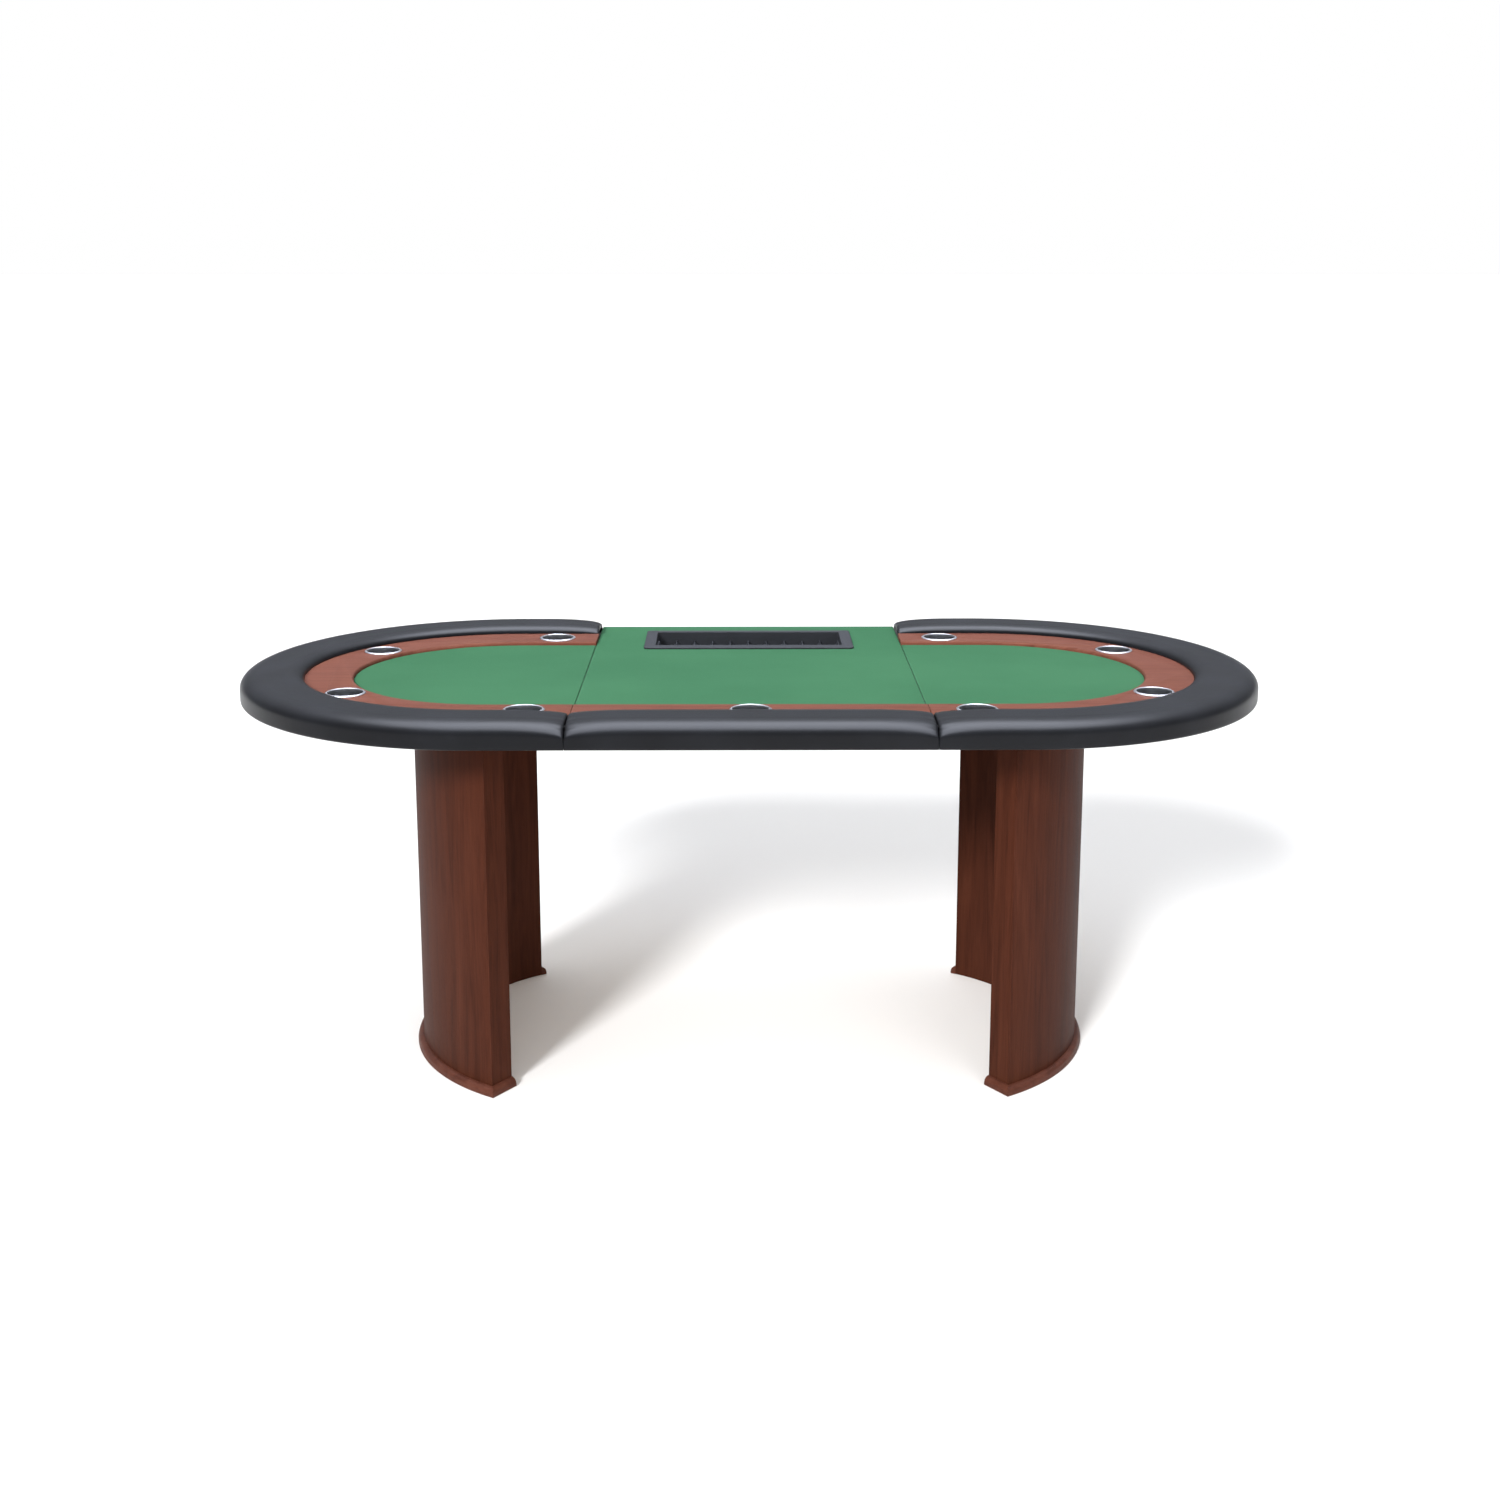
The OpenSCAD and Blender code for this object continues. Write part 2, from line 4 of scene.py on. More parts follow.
import bmesh
import bpy
import numpy
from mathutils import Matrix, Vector

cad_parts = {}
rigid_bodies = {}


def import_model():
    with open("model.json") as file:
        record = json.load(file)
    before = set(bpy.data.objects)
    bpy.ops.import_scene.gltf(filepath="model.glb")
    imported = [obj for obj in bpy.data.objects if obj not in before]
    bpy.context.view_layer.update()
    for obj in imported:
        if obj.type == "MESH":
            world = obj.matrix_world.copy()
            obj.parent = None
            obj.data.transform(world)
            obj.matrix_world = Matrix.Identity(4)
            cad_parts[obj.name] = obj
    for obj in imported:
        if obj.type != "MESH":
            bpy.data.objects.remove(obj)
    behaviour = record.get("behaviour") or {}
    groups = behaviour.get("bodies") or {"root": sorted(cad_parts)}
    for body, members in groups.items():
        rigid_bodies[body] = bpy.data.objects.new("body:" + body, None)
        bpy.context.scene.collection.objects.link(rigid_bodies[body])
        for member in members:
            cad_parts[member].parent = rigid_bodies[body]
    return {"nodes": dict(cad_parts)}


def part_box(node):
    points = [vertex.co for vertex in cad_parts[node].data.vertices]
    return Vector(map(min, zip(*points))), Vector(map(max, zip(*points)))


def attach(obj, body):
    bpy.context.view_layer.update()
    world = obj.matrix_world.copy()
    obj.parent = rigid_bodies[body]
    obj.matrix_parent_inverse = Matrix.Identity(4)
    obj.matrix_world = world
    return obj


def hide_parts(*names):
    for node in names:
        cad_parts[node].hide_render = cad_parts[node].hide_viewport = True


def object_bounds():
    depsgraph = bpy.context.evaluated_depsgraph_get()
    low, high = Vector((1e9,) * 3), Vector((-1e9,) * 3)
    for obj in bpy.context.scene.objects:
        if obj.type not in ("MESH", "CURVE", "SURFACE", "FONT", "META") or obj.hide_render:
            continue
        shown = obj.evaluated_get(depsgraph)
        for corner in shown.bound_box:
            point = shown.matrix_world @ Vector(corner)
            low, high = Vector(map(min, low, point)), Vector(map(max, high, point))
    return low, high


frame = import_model()
cadLow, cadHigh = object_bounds()
print("frame loaded:", len(frame["nodes"]), "nodes")

# Camera and lights

cameraView = {
    "place": (-0.0244, -3.913, 1.6174),
    "tiltDown": 0.1997,
    "turnRight": 0.0065,
    "lens": 46.28,
    "sensor": 36.0,
    "shiftUp": -0.0667,
}


def makeCamera(values):
    data = bpy.data.cameras.new("camera")
    data.lens = values["lens"]
    data.sensor_width = values["sensor"]
    data.shift_y = values["shiftUp"]
    camera = bpy.data.objects.new("camera", data)
    camera.location = values["place"]
    camera.rotation_euler = (math.pi / 2 - values["tiltDown"], 0, -values["turnRight"])
    bpy.context.scene.collection.objects.link(camera)
    bpy.context.scene.camera = camera


studio = {
    "backdrop": (1.0, 1.0, 1.0, 1),
    "softLight": (0.80, 0.80, 0.80, 1),
    "panelLevels": [(0.0, (0.22, 0.23, 0.25, 1)), (0.35, (0.40, 0.42, 0.46, 1)), (0.80, (1.4, 1.45, 1.6, 1)),
                    (0.92, (16.0, 16.8, 19.0, 1))],
    "sunTurn": (0.795, 1.84, -1.0),
    "sunSize": 0.2,
    "sunPower": 4.4,
    "topFill": {"place": (-0.2, -2.1, 2.1), "aim": (0.0, -0.2, 0.78), "size": 1.4, "power": 7.0},
    "sideFill": {"place": (1.6, -3.0, 1.1), "aim": (-0.3, 0.0, 0.4), "size": 2.0, "power": 34.0},
    "floorSize": 400,
    "floorColour": (0.90, 0.90, 0.90, 1),
}


def grey(level):
    return (level, level, level, 1)


def makeSky(values):
    # even soft light, a bright panel overhead for things that shine, and a plain white backdrop
    world = bpy.data.worlds.new("studio")
    world.use_nodes = True
    tree = world.node_tree
    tree.nodes.clear()

    def light(colour):
        node = tree.nodes.new("ShaderNodeBackground")
        node.inputs["Color"].default_value = colour
        return node

    def choose(sort, others, these):
        node = tree.nodes.new("ShaderNodeMixShader")
        tree.links.new(rays.outputs[sort], node.inputs[0])
        tree.links.new(others.outputs[0], node.inputs[1])
        tree.links.new(these.outputs[0], node.inputs[2])
        return node

    rays = tree.nodes.new("ShaderNodeLightPath")
    direction = tree.nodes.new("ShaderNodeTexCoord")
    parts = tree.nodes.new("ShaderNodeSeparateXYZ")
    ramp = tree.nodes.new("ShaderNodeValToRGB")
    stops = ramp.color_ramp.elements
    levels = values["panelLevels"]
    stops[0].position, stops[0].color = levels[0]
    stops[1].position, stops[1].color = levels[-1]
    for position, colour in levels[1:-1]:
        stops.new(position).color = colour
    tree.links.new(direction.outputs["Generated"], parts.inputs[0])
    tree.links.new(parts.outputs["Z"], ramp.inputs["Fac"])
    panel = light(grey(1))
    tree.links.new(ramp.outputs["Color"], panel.inputs["Color"])
    lit = choose("Is Glossy Ray", light(values["softLight"]), panel)
    seen = choose("Is Camera Ray", lit, light(values["backdrop"]))
    out = tree.nodes.new("ShaderNodeOutputWorld")
    tree.links.new(seen.outputs[0], out.inputs["Surface"])
    bpy.context.scene.world = world


def addLight(name, sort, place, aim, size, power):
    data = bpy.data.lights.new(name, sort)
    data.energy = power
    if sort == "SUN":
        data.angle = size
    else:
        data.shape = "DISK"
        data.size = size
    lamp = bpy.data.objects.new(name, data)
    lamp.location = place
    lamp.visible_glossy = False
    lamp.rotation_euler = (Vector(aim) - Vector(place)).to_track_quat("-Z", "Y").to_euler()
    bpy.context.scene.collection.objects.link(lamp)


def makeStudio(values):
    makeSky(values)
    addLight("sun", "SUN", (0, 0, 0), values["sunTurn"], values["sunSize"], values["sunPower"])
    for name in ("topFill", "sideFill"):
        addLight(name, "AREA", **values[name])
    bpy.context.scene.view_settings.view_transform = "Standard"


makeCamera(cameraView)
makeStudio(studio)
print("camera and lights are up")

# Shader maths


class Wire:
    # a socket's output that can be added, scaled and compared like a number
    def __init__(self, finish, socket):
        self.finish = finish
        self.socket = socket

    def maths(self, operation, first, second):
        return self.finish.add("ShaderNodeMath", {"operation": operation}, {0: first, 1: second})

    def __add__(self, other):
        return self.maths("ADD", self, other)

    def __radd__(self, other):
        return self.maths("ADD", other, self)

    def __sub__(self, other):
        return self.maths("SUBTRACT", self, other)

    def __rsub__(self, other):
        return self.maths("SUBTRACT", other, self)

    def __mul__(self, other):
        return self.maths("MULTIPLY", self, other)

    def __rmul__(self, other):
        return self.maths("MULTIPLY", other, self)


class Finish:
    # a material being built, with its shader's fixed values set on the shader itself
    def __init__(self, name, **fixed):
        self.material = bpy.data.materials.new(name)
        self.material.use_nodes = True
        self.tree = self.material.node_tree
        self.shader = self.tree.nodes["Principled BSDF"]
        for socket, value in fixed.items():
            self.shader.inputs[socket.replace("_", " ")].default_value = value

    def add(self, kind, settings=None, inputs=None, output=0):
        node = self.tree.nodes.new(kind)
        for key, value in (settings or {}).items():
            if key == "stops":
                ramp = node.color_ramp.elements
                while len(ramp) < len(value):
                    ramp.new(0.5)
                for element, (place, colour) in zip(ramp, value):
                    element.position = place
                    element.color = colour
            else:
                setattr(node, key, value)
        for key, value in (inputs or {}).items():
            if isinstance(value, Wire):
                self.tree.links.new(value.socket, node.inputs[key])
            elif value is not None:
                node.inputs[key].default_value = value
        return Wire(self, node.outputs[output])

    def feed(self, socket, wire):
        self.tree.links.new(wire.socket, self.shader.inputs[socket])

    def place(self, scale=(1, 1, 1)):
        spot = self.add("ShaderNodeTexCoord", output="Object")
        return self.add("ShaderNodeMapping", {}, {"Vector": spot, "Scale": scale})

    def cloudy(self, vector, scale, detail=4, rough=0.5, warp=0.0):
        return self.add("ShaderNodeTexNoise", {}, {
            "Vector": vector, "Scale": scale, "Detail": detail, "Roughness": rough, "Distortion": warp})

    def ramp(self, wire, stops):
        return self.add("ShaderNodeValToRGB", {"stops": stops}, {"Fac": wire})

    def mix(self, share, first, second):
        return self.add("ShaderNodeMix", {"data_type": "RGBA"}, {0: share, 6: first, 7: second}, 2)

    def bump(self, height, strength, distance, under=None):
        return self.add("ShaderNodeBump", {}, {
            "Height": height, "Strength": strength, "Distance": distance, "Normal": under})


# Finishes

clothLook = {
    "dark": (0.052, 0.165, 0.087, 1),
    "light": (0.060, 0.184, 0.097, 1),
    "fleck": (0.078, 0.220, 0.120, 1),
    "threadScale": 900,
    "patchScale": 3.5,
}


def clothFinish(look):
    f = Finish("gamingCloth", Roughness=0.95, Specular_IOR_Level=0.03)
    spot = f.place()
    patches = f.cloudy(spot, look["patchScale"], 3, 0.5)
    nap = f.cloudy(f.place((1, 1.6, 1)), look["threadScale"] * 0.35, 3, 0.7)
    threads = f.cloudy(spot, look["threadScale"], 2, 0.6)
    colour = f.mix(f.ramp(patches, [(0.35, grey(0)), (0.65, grey(1))]), look["dark"], look["light"])
    colour = f.mix(f.ramp(nap, [(0.52, grey(0)), (0.78, grey(0.6))]), colour, look["fleck"])
    f.feed("Base Color", colour)
    f.feed("Normal", f.bump(threads * 0.6 + nap * 0.4, 0.5, 0.0006))
    return f.material


leatherLook = {
    "base": (0.0050, 0.0053, 0.0064, 1),
    "worn": (0.0072, 0.0077, 0.0094, 1),
    "poreScale": 650,
    "creaseScale": 55,
    "roughness": 0.33,
}


def leatherFinish(look):
    f = Finish("railLeather", Specular_IOR_Level=0.14)
    spot = f.place()
    cells = f.add("ShaderNodeTexVoronoi", {"feature": "SMOOTH_F1"}, {
        "Vector": spot, "Scale": look["poreScale"], "Smoothness": 0.4}, "Distance")
    pores = f.ramp(cells, [(0.0, grey(0)), (0.55, grey(1))])
    creases = f.cloudy(f.place((1, 1, 1.5)), look["creaseScale"], 5, 0.55, 0.6)
    soft = f.cloudy(spot, 9, 3)
    f.feed("Base Color", f.mix(f.ramp(soft, [(0.4, grey(0)), (0.72, grey(1))]), look["base"], look["worn"]))
    f.feed("Roughness", look["roughness"] - 0.06 + soft * 0.1 + pores * 0.04)
    fine = f.bump(pores, 0.16, 0.0004)
    f.feed("Normal", f.bump(creases, 0.12, 0.0012, fine))
    return f.material


# Figured veneer: long bands of colour, broken by short dark pores that run with the grain
def woodFinish(name, grain, dark, mid, light, roughness, coat, shine=0.22):
    f = Finish(name, Coat_Weight=coat, Coat_Roughness=0.18, Specular_IOR_Level=shine)
    along = f.place(grain)
    swirl = f.cloudy(along, 2.2, 6, 0.62, 1.1)
    fine = f.cloudy(along, 14, 5, 0.7, 0.3)
    colour = f.ramp(swirl * 0.72 + fine * 0.28, [(0.34, dark), (0.5, mid), (0.68, light)])
    pores = f.cloudy(f.place(tuple(g * 9 for g in grain)), 11, 2, 0.5)
    poreMask = f.ramp(pores, [(0.60, grey(0)), (0.68, grey(1))])
    f.feed("Base Color", f.mix(poreMask * 0.45, colour, dark))
    f.feed("Roughness", roughness + swirl * 0.08 + poreMask * 0.12)
    f.feed("Normal", f.bump(1 - poreMask, 0.25, 0.0003, f.bump(fine, 0.06, 0.0008)))
    return f.material


def steelFinish(name, tone, roughness, brushScale, grain):
    f = Finish(name, Metallic=1.0)
    brush = f.cloudy(f.place(grain), brushScale, 3, 0.6)
    f.feed("Base Color", f.mix(brush, tuple(c * 0.86 for c in tone) + (1,), tone + (1,)))
    f.feed("Roughness", roughness + brush * 0.12)
    f.feed("Normal", f.bump(brush, 0.05, 0.0002))
    return f.material


def plasticFinish(name, tone, roughness):
    f = Finish(name, Specular_IOR_Level=0.16)
    spot = f.place()
    grain = f.cloudy(spot, 1100, 2, 0.5)
    haze = f.cloudy(spot, 14, 3)
    dark, light = (tuple(c * share for c in tone) + (1,) for share in (0.85, 1.15))
    f.feed("Base Color", f.mix(haze, dark, light))
    f.feed("Roughness", roughness + haze * 0.1)
    f.feed("Normal", f.bump(grain, 0.25, 0.0003))
    return f.material


# Plywood: a plain face with straight grain and thin plies where the edge shows
def plywoodFinish():
    f = Finish("plywood", Specular_IOR_Level=0.3)
    figure = f.cloudy(f.place((1.2, 22, 22)), 3.0, 5, 0.6, 0.5)
    plies = f.add("ShaderNodeTexWave", {"bands_direction": "Z", "wave_profile": "TRI"}, {
        "Vector": f.place(), "Scale": 110, "Distortion": 0.2}, "Color")
    pale = f.ramp(figure, [(0.3, (0.42, 0.29, 0.17, 1)), (0.7, (0.60, 0.45, 0.29, 1))])
    f.feed("Base Color", f.mix(plies * 0.22, pale, (0.30, 0.19, 0.11, 1)))
    f.feed("Roughness", 0.6 + figure * 0.15)
    f.feed("Normal", f.bump(figure, 0.15, 0.0005))
    return f.material


def foamFinish():
    f = Finish("underlayFoam", Roughness=0.95)
    cells = f.cloudy(f.place(), 900, 2, 0.6)
    f.feed("Base Color", f.mix(cells, (0.03, 0.03, 0.03, 1), (0.075, 0.075, 0.075, 1)))
    f.feed("Normal", f.bump(cells, 0.5, 0.0005))
    return f.material


def floorFinish(colour):
    f = Finish("paleFloor", Roughness=0.75, Specular_IOR_Level=0.2)
    haze = f.cloudy(f.place(), 0.6, 2)
    f.feed("Base Color", f.mix(haze * 0.03, colour, grey(0.8)))
    return f.material


finishes = {
    "cloth": clothFinish(clothLook),
    "leather": leatherFinish(leatherLook),
    "track": woodFinish("racetrackVeneer", (1.6, 26, 26), (0.092, 0.028, 0.018, 1), (0.134, 0.047, 0.031, 1),
                        (0.164, 0.061, 0.040, 1), 0.45, 0.0, shine=0.06),
    "leg": woodFinish("legVeneer", (22, 22, 1.3), (0.028, 0.0075, 0.0036, 1), (0.045, 0.0125, 0.0062, 1),
                      (0.060, 0.0175, 0.0090, 1), 0.5, 0.0, shine=0.05),
    "moulding": woodFinish("mouldingWood", (9, 9, 14), (0.045, 0.0135, 0.008, 1), (0.072, 0.023, 0.014, 1),
                           (0.092, 0.033, 0.021, 1), 0.42, 0.02, shine=0.11),
    "coreWood": woodFinish("coreWood", (2, 18, 18), (0.36, 0.23, 0.13, 1), (0.50, 0.35, 0.21, 1),
                           (0.60, 0.45, 0.29, 1), 0.6, 0.0),
    "plywood": plywoodFinish(),
    "foam": foamFinish(),
    "cup": steelFinish("cupSteel", (0.31, 0.313, 0.322), 0.37, 60, (1, 1, 9)),
    "zinc": steelFinish("zincSteel", (0.60, 0.61, 0.63), 0.3, 300, (1, 1, 1)),
    "nickel": steelFinish("latchSteel", (0.66, 0.65, 0.62), 0.24, 220, (1, 6, 1)),
    "tray": plasticFinish("trayPlastic", (0.014, 0.015, 0.0175), 0.50),
}
print("finishes made:", len(finishes))

# Sizes read from the frame

padCentreLow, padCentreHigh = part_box("rail_pad_centre")
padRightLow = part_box("rail_pad_right")[0]
trackLow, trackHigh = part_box("track_centre")
boardLow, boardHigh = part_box("board_centre")
coreLow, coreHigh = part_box("rail_core_centre")
clothLow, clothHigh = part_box("cloth_centre")
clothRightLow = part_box("cloth_right")[0]
trayLow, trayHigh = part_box("chip_tray")

endRadius = -padCentreLow.y
arcX = cadHigh.x - endRadius
seamX = padRightLow.x
crownZ = padCentreHigh.z
underZ = padCentreLow.z
boardTop = boardHigh.z
trackTop = trackHigh.z
trackInner = -trackHigh.y
trackOuter = -trackLow.y
boardEdge = -boardLow.y
clothTop = clothHigh.z


def circleThrough(a, b, c):
    # centre and radius of the circle through three points of the plan
    d = 2 * (a.x * (b.y - c.y) + b.x * (c.y - a.y) + c.x * (a.y - b.y))
    sums = [p.x * p.x + p.y * p.y for p in (a, b, c)]
    x = (sums[0] * (b.y - c.y) + sums[1] * (c.y - a.y) + sums[2] * (a.y - b.y)) / d
    y = (sums[0] * (c.x - b.x) + sums[1] * (a.x - c.x) + sums[2] * (b.x - a.x)) / d
    return Vector((x, y)), math.hypot(a.x - x, a.y - y)


def legShape():
    corners = [v.co for v in frame["nodes"]["leg_right_outer_skin"].data.vertices]
    front = min(corners, key=lambda p: p.y)
    rear = max(corners, key=lambda p: p.y)
    out = max(corners, key=lambda p: p.x)
    centre, radius = circleThrough(front, out, rear)
    angle = math.asin(rear.y / radius)
    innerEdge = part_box("leg_right_inner_skin")[0].x
    inner = (innerEdge - centre.x) / math.cos(angle)
    skin = radius - (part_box("leg_right_outer_skin")[0].x - centre.x) / math.cos(angle)
    return {"centre": centre.x, "radius": radius, "angle": angle, "inner": inner, "skin": skin}


leg = legShape()
print("leg curve:", {k: round(v, 4) for k, v in leg.items()})

# Making pieces


def settle(mesh, smoothAngle=35):
    mesh.shade_smooth()
    mesh.set_sharp_from_angle(angle=math.radians(smoothAngle))


def addPiece(name, points, faces, finish, smoothAngle=35):
    mesh = bpy.data.meshes.new(name)
    mesh.from_pydata([tuple(p) for p in points], [], faces)
    shell = bmesh.new()
    shell.from_mesh(mesh)
    bmesh.ops.remove_doubles(shell, verts=shell.verts, dist=1e-6)
    bmesh.ops.recalc_face_normals(shell, faces=shell.faces)
    shell.to_mesh(mesh)
    shell.free()
    settle(mesh, smoothAngle)
    mesh.materials.append(finishes[finish])
    piece = bpy.data.objects.new(name, mesh)
    bpy.context.scene.collection.objects.link(piece)
    return piece


def giveTo(piece, body, slot, *replaced):
    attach(piece, body)
    if replaced:
        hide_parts(*replaced)
    return piece


def plainMesh(piece):
    # bakes a piece's modifiers into its mesh
    graph = bpy.context.evaluated_depsgraph_get()
    mesh = bpy.data.meshes.new_from_object(
        piece.evaluated_get(graph), preserve_all_data_layers=True, depsgraph=graph)
    piece.modifiers.clear()
    piece.data = mesh
    return piece


easing = {"mergeWithin": 2e-6, "flatWithin": 0.6, "segments": 2, "sharperThan": 40}


def softEdged(name, node, finish, width):
    # a copy of a hard CAD piece with its edges eased
    mesh = frame["nodes"][node].data.copy()
    shell = bmesh.new()
    shell.from_mesh(mesh)
    bmesh.ops.remove_doubles(shell, verts=shell.verts, dist=easing["mergeWithin"])
    flat = math.radians(easing["flatWithin"])
    bmesh.ops.dissolve_limit(shell, angle_limit=flat, verts=shell.verts, edges=shell.edges)
    shell.to_mesh(mesh)
    shell.free()
    mesh.materials.clear()
    mesh.materials.append(finishes[finish])
    piece = bpy.data.objects.new(name, mesh)
    bpy.context.scene.collection.objects.link(piece)
    ease = piece.modifiers.new("ease", "BEVEL")
    ease.width = width
    ease.segments = easing["segments"]
    ease.limit_method = "ANGLE"
    ease.angle_limit = math.radians(easing["sharperThan"])
    ease.use_clamp_overlap = True
    plainMesh(piece)
    settle(piece.data)
    return piece


def sweepLoop(stations):
    # skins a list of equal rings of points, and caps the two ends
    points = [p for ring in stations for p in ring]
    n = len(stations[0])
    count = len(stations)
    faces = []
    for i in range(count - 1):
        a, b = i * n, (i + 1) * n
        for j in range(n):
            k = (j + 1) % n
            faces.append((a + j, a + k, b + k, b + j))
    faces.append(tuple(reversed(range(n))))
    faces.append(tuple(range((count - 1) * n, count * n)))
    return points, faces


def roundCorner(cx, cz, r, a0, a1, steps, rise=None):
    # points of an arc in a section, angles in degrees; rise makes it an ellipse of that height
    arc = [math.radians(a0 + (a1 - a0) * i / steps) for i in range(steps + 1)]
    return [(cx + r * math.cos(a), cz + (rise or r) * math.sin(a)) for a in arc]


# Padded rail

rail = {
    "outerReach": 0.042,
    "outerRise": 0.027,
    "innerReach": 0.034,
    "innerRise": 0.016,
    "footRound": 0.006,
    "endRound": 0.0055,
    "crownDrop": 0.008,
    "shoulderDrop": 0.017,
    "dropLength": 0.15,
    "sideDraw": 0.0018,
    "gatherDepth": 0.0007,
    "gatherLength": 0.020,
    "gathers": 9,
    "flapReach": 0.024,
    "flapThick": 0.001,
    "slack": 0.0002,
    "fineStep": 0.013,
}


def railSection(values):
    # the padding's section as (distance from the spine, height): first the leather from its inner
    # foot over the crown to its outer foot, then the flap under the board and the hollow for the core
    inner = trackOuter + 3 * values["slack"]
    rf = values["footRound"]
    left, right = inner + values["innerReach"], endRadius - values["outerReach"]
    shape = [(inner, trackTop - 0.012), (inner, trackTop - 0.004)]
    rise = values["innerRise"]
    shape += roundCorner(left, crownZ - rise, values["innerReach"], 180, 90, 11, rise)
    shape += [(left + (right - left) * i / 6, crownZ) for i in range(1, 6)]
    rise = values["outerRise"]
    shape += roundCorner(right, crownZ - rise, values["outerReach"], 90, 0, 16, rise)
    shape += [(endRadius, crownZ - rise - 0.007), (endRadius, underZ + rf + 0.005)]
    shape += roundCorner(endRadius - rf, underZ + rf, rf, 0, -90, 5)
    leather = len(shape)
    s = values["slack"]
    flapEnd = boardEdge - values["flapReach"]
    shape += [(flapEnd + 0.004, underZ - values["flapThick"])]
    shape += [(flapEnd, underZ - 2 * s), (flapEnd, underZ - s)]
    shape += [(boardEdge + s, underZ - s), (boardEdge + s, boardTop + s), (-coreLow.y + s, boardTop + s),
              (-coreLow.y + s, coreHigh.z + s), (-coreHigh.y - s, coreHigh.z + s),
              (-coreHigh.y - s, boardTop + s), (inner, boardTop + s)]
    return shape, leather


def railRing(section, leather, station, values):
    # the section at one station; near an end the crown sinks, the shoulder sinks further
    # and the leather gathers towards the seam
    base, out, toEnd = station
    near = max(0.0, 1 - toEnd / values["dropLength"])
    ease = near ** 3
    tight = math.exp(-toEnd / 0.010)
    e = values["endRound"]
    pull = e - math.sqrt(max(0.0, e * e - (e - toEnd) ** 2)) if toEnd < e else 0.0
    inner = section[0][0]
    ring = []
    for i, (r, z) in enumerate(section):
        if i < leather:
            across = (r - inner) / (endRadius - inner)
            high = max(0.0, min(1.0, (z - boardTop + 0.004) / (crownZ - boardTop)))
            shoulder = across ** 3
            fall = values["crownDrop"] * (0.75 * ease + 0.25 * tight) * (1 - shoulder)
            fall += values["shoulderDrop"] * shoulder * (0.65 * ease + 0.35 * tight)
            fold = math.sin(i / leather * math.tau * values["gathers"] + 0.9 * math.sin(i * 0.7))
            fold *= values["gatherDepth"] * math.exp(-toEnd / values["gatherLength"]) * high
            z -= high * (fall + pull * 0.8) + fold
            side = max(0.0, across - 0.72) / 0.28
            upper = max(0.0, min(1.0, (z - underZ - 0.006) / 0.030))
            r -= side * upper * (values["sideDraw"] * (0.4 * ease + 0.6 * tight) + pull * 0.35)
            if across < 0.12:
                r += (0.12 - across) / 0.12 * pull * 0.3
        p = base + out * r
        ring.append((p.x, p.y, z))
    return ring


def railSpots(length, values):
    # distances along a section, close together where its ends curve over
    near = [0.0, 0.0006, 0.0015, 0.0028, 0.0045, 0.0065, 0.009, 0.012, 0.016, 0.021, 0.027, 0.034,
            0.042, 0.051, 0.061, 0.073, 0.086, 0.100]
    fine = round((length - 2 * near[-1]) / values["fineStep"])
    middle = [near[-1] + (length - 2 * near[-1]) * i / fine for i in range(1, fine)]
    return near + middle + [length - d for d in reversed(near)]


def railRun(side, values):
    # stations of one rail section, as a point on the spine, the way outwards and the distance to an end
    if side == 0:
        length = 2 * padCentreHigh.x
        return [(Vector((padCentreLow.x + s, 0)), Vector((0, -1)), min(s, length - s))
                for s in railSpots(length, values)]
    straight = arcX - seamX
    length = 2 * straight + math.pi * endRadius
    run = []
    for s in railSpots(length, values):
        if s < straight:
            base, out = Vector((side * (seamX + s), 0)), Vector((0, -1))
        elif s > length - straight:
            base, out = Vector((side * (seamX + length - s), 0)), Vector((0, 1))
        else:
            a = -math.pi / 2 + (s - straight) / endRadius
            base, out = Vector((side * arcX, 0)), Vector((side * math.cos(a), math.sin(a)))
        run.append((base, out, min(s, length - s)))
    return run


def makeRail(name, side, node):
    section, leather = railSection(rail)
    rings = [railRing(section, leather, station, rail) for station in railRun(side, rail)]
    points, faces = sweepLoop(rings)
    pad = addPiece(name, points, faces, "leather", 55)
    giveTo(pad, "table", "rail_leather", node)


makeRail("railPadLeft", -1, "rail_pad_left")
makeRail("railPadCentre", 0, "rail_pad_centre")
makeRail("railPadRight", 1, "rail_pad_right")
print("rail padded")

# Cloth

cloth = {
    "thick": 0.0014,
    "edgeRound": 0.0022,
    "gap": 0.0004,
    "rearRound": 0.006,
    "turnUnder": 0.012,
    "tuckIn": 0.015,
}


def edgeFall(d, r):
    # how far the cloth drops at a distance d from an edge that is rounded with radius r
    return 0.0 if d >= r else r - math.sqrt(r * r - (r - d) ** 2)


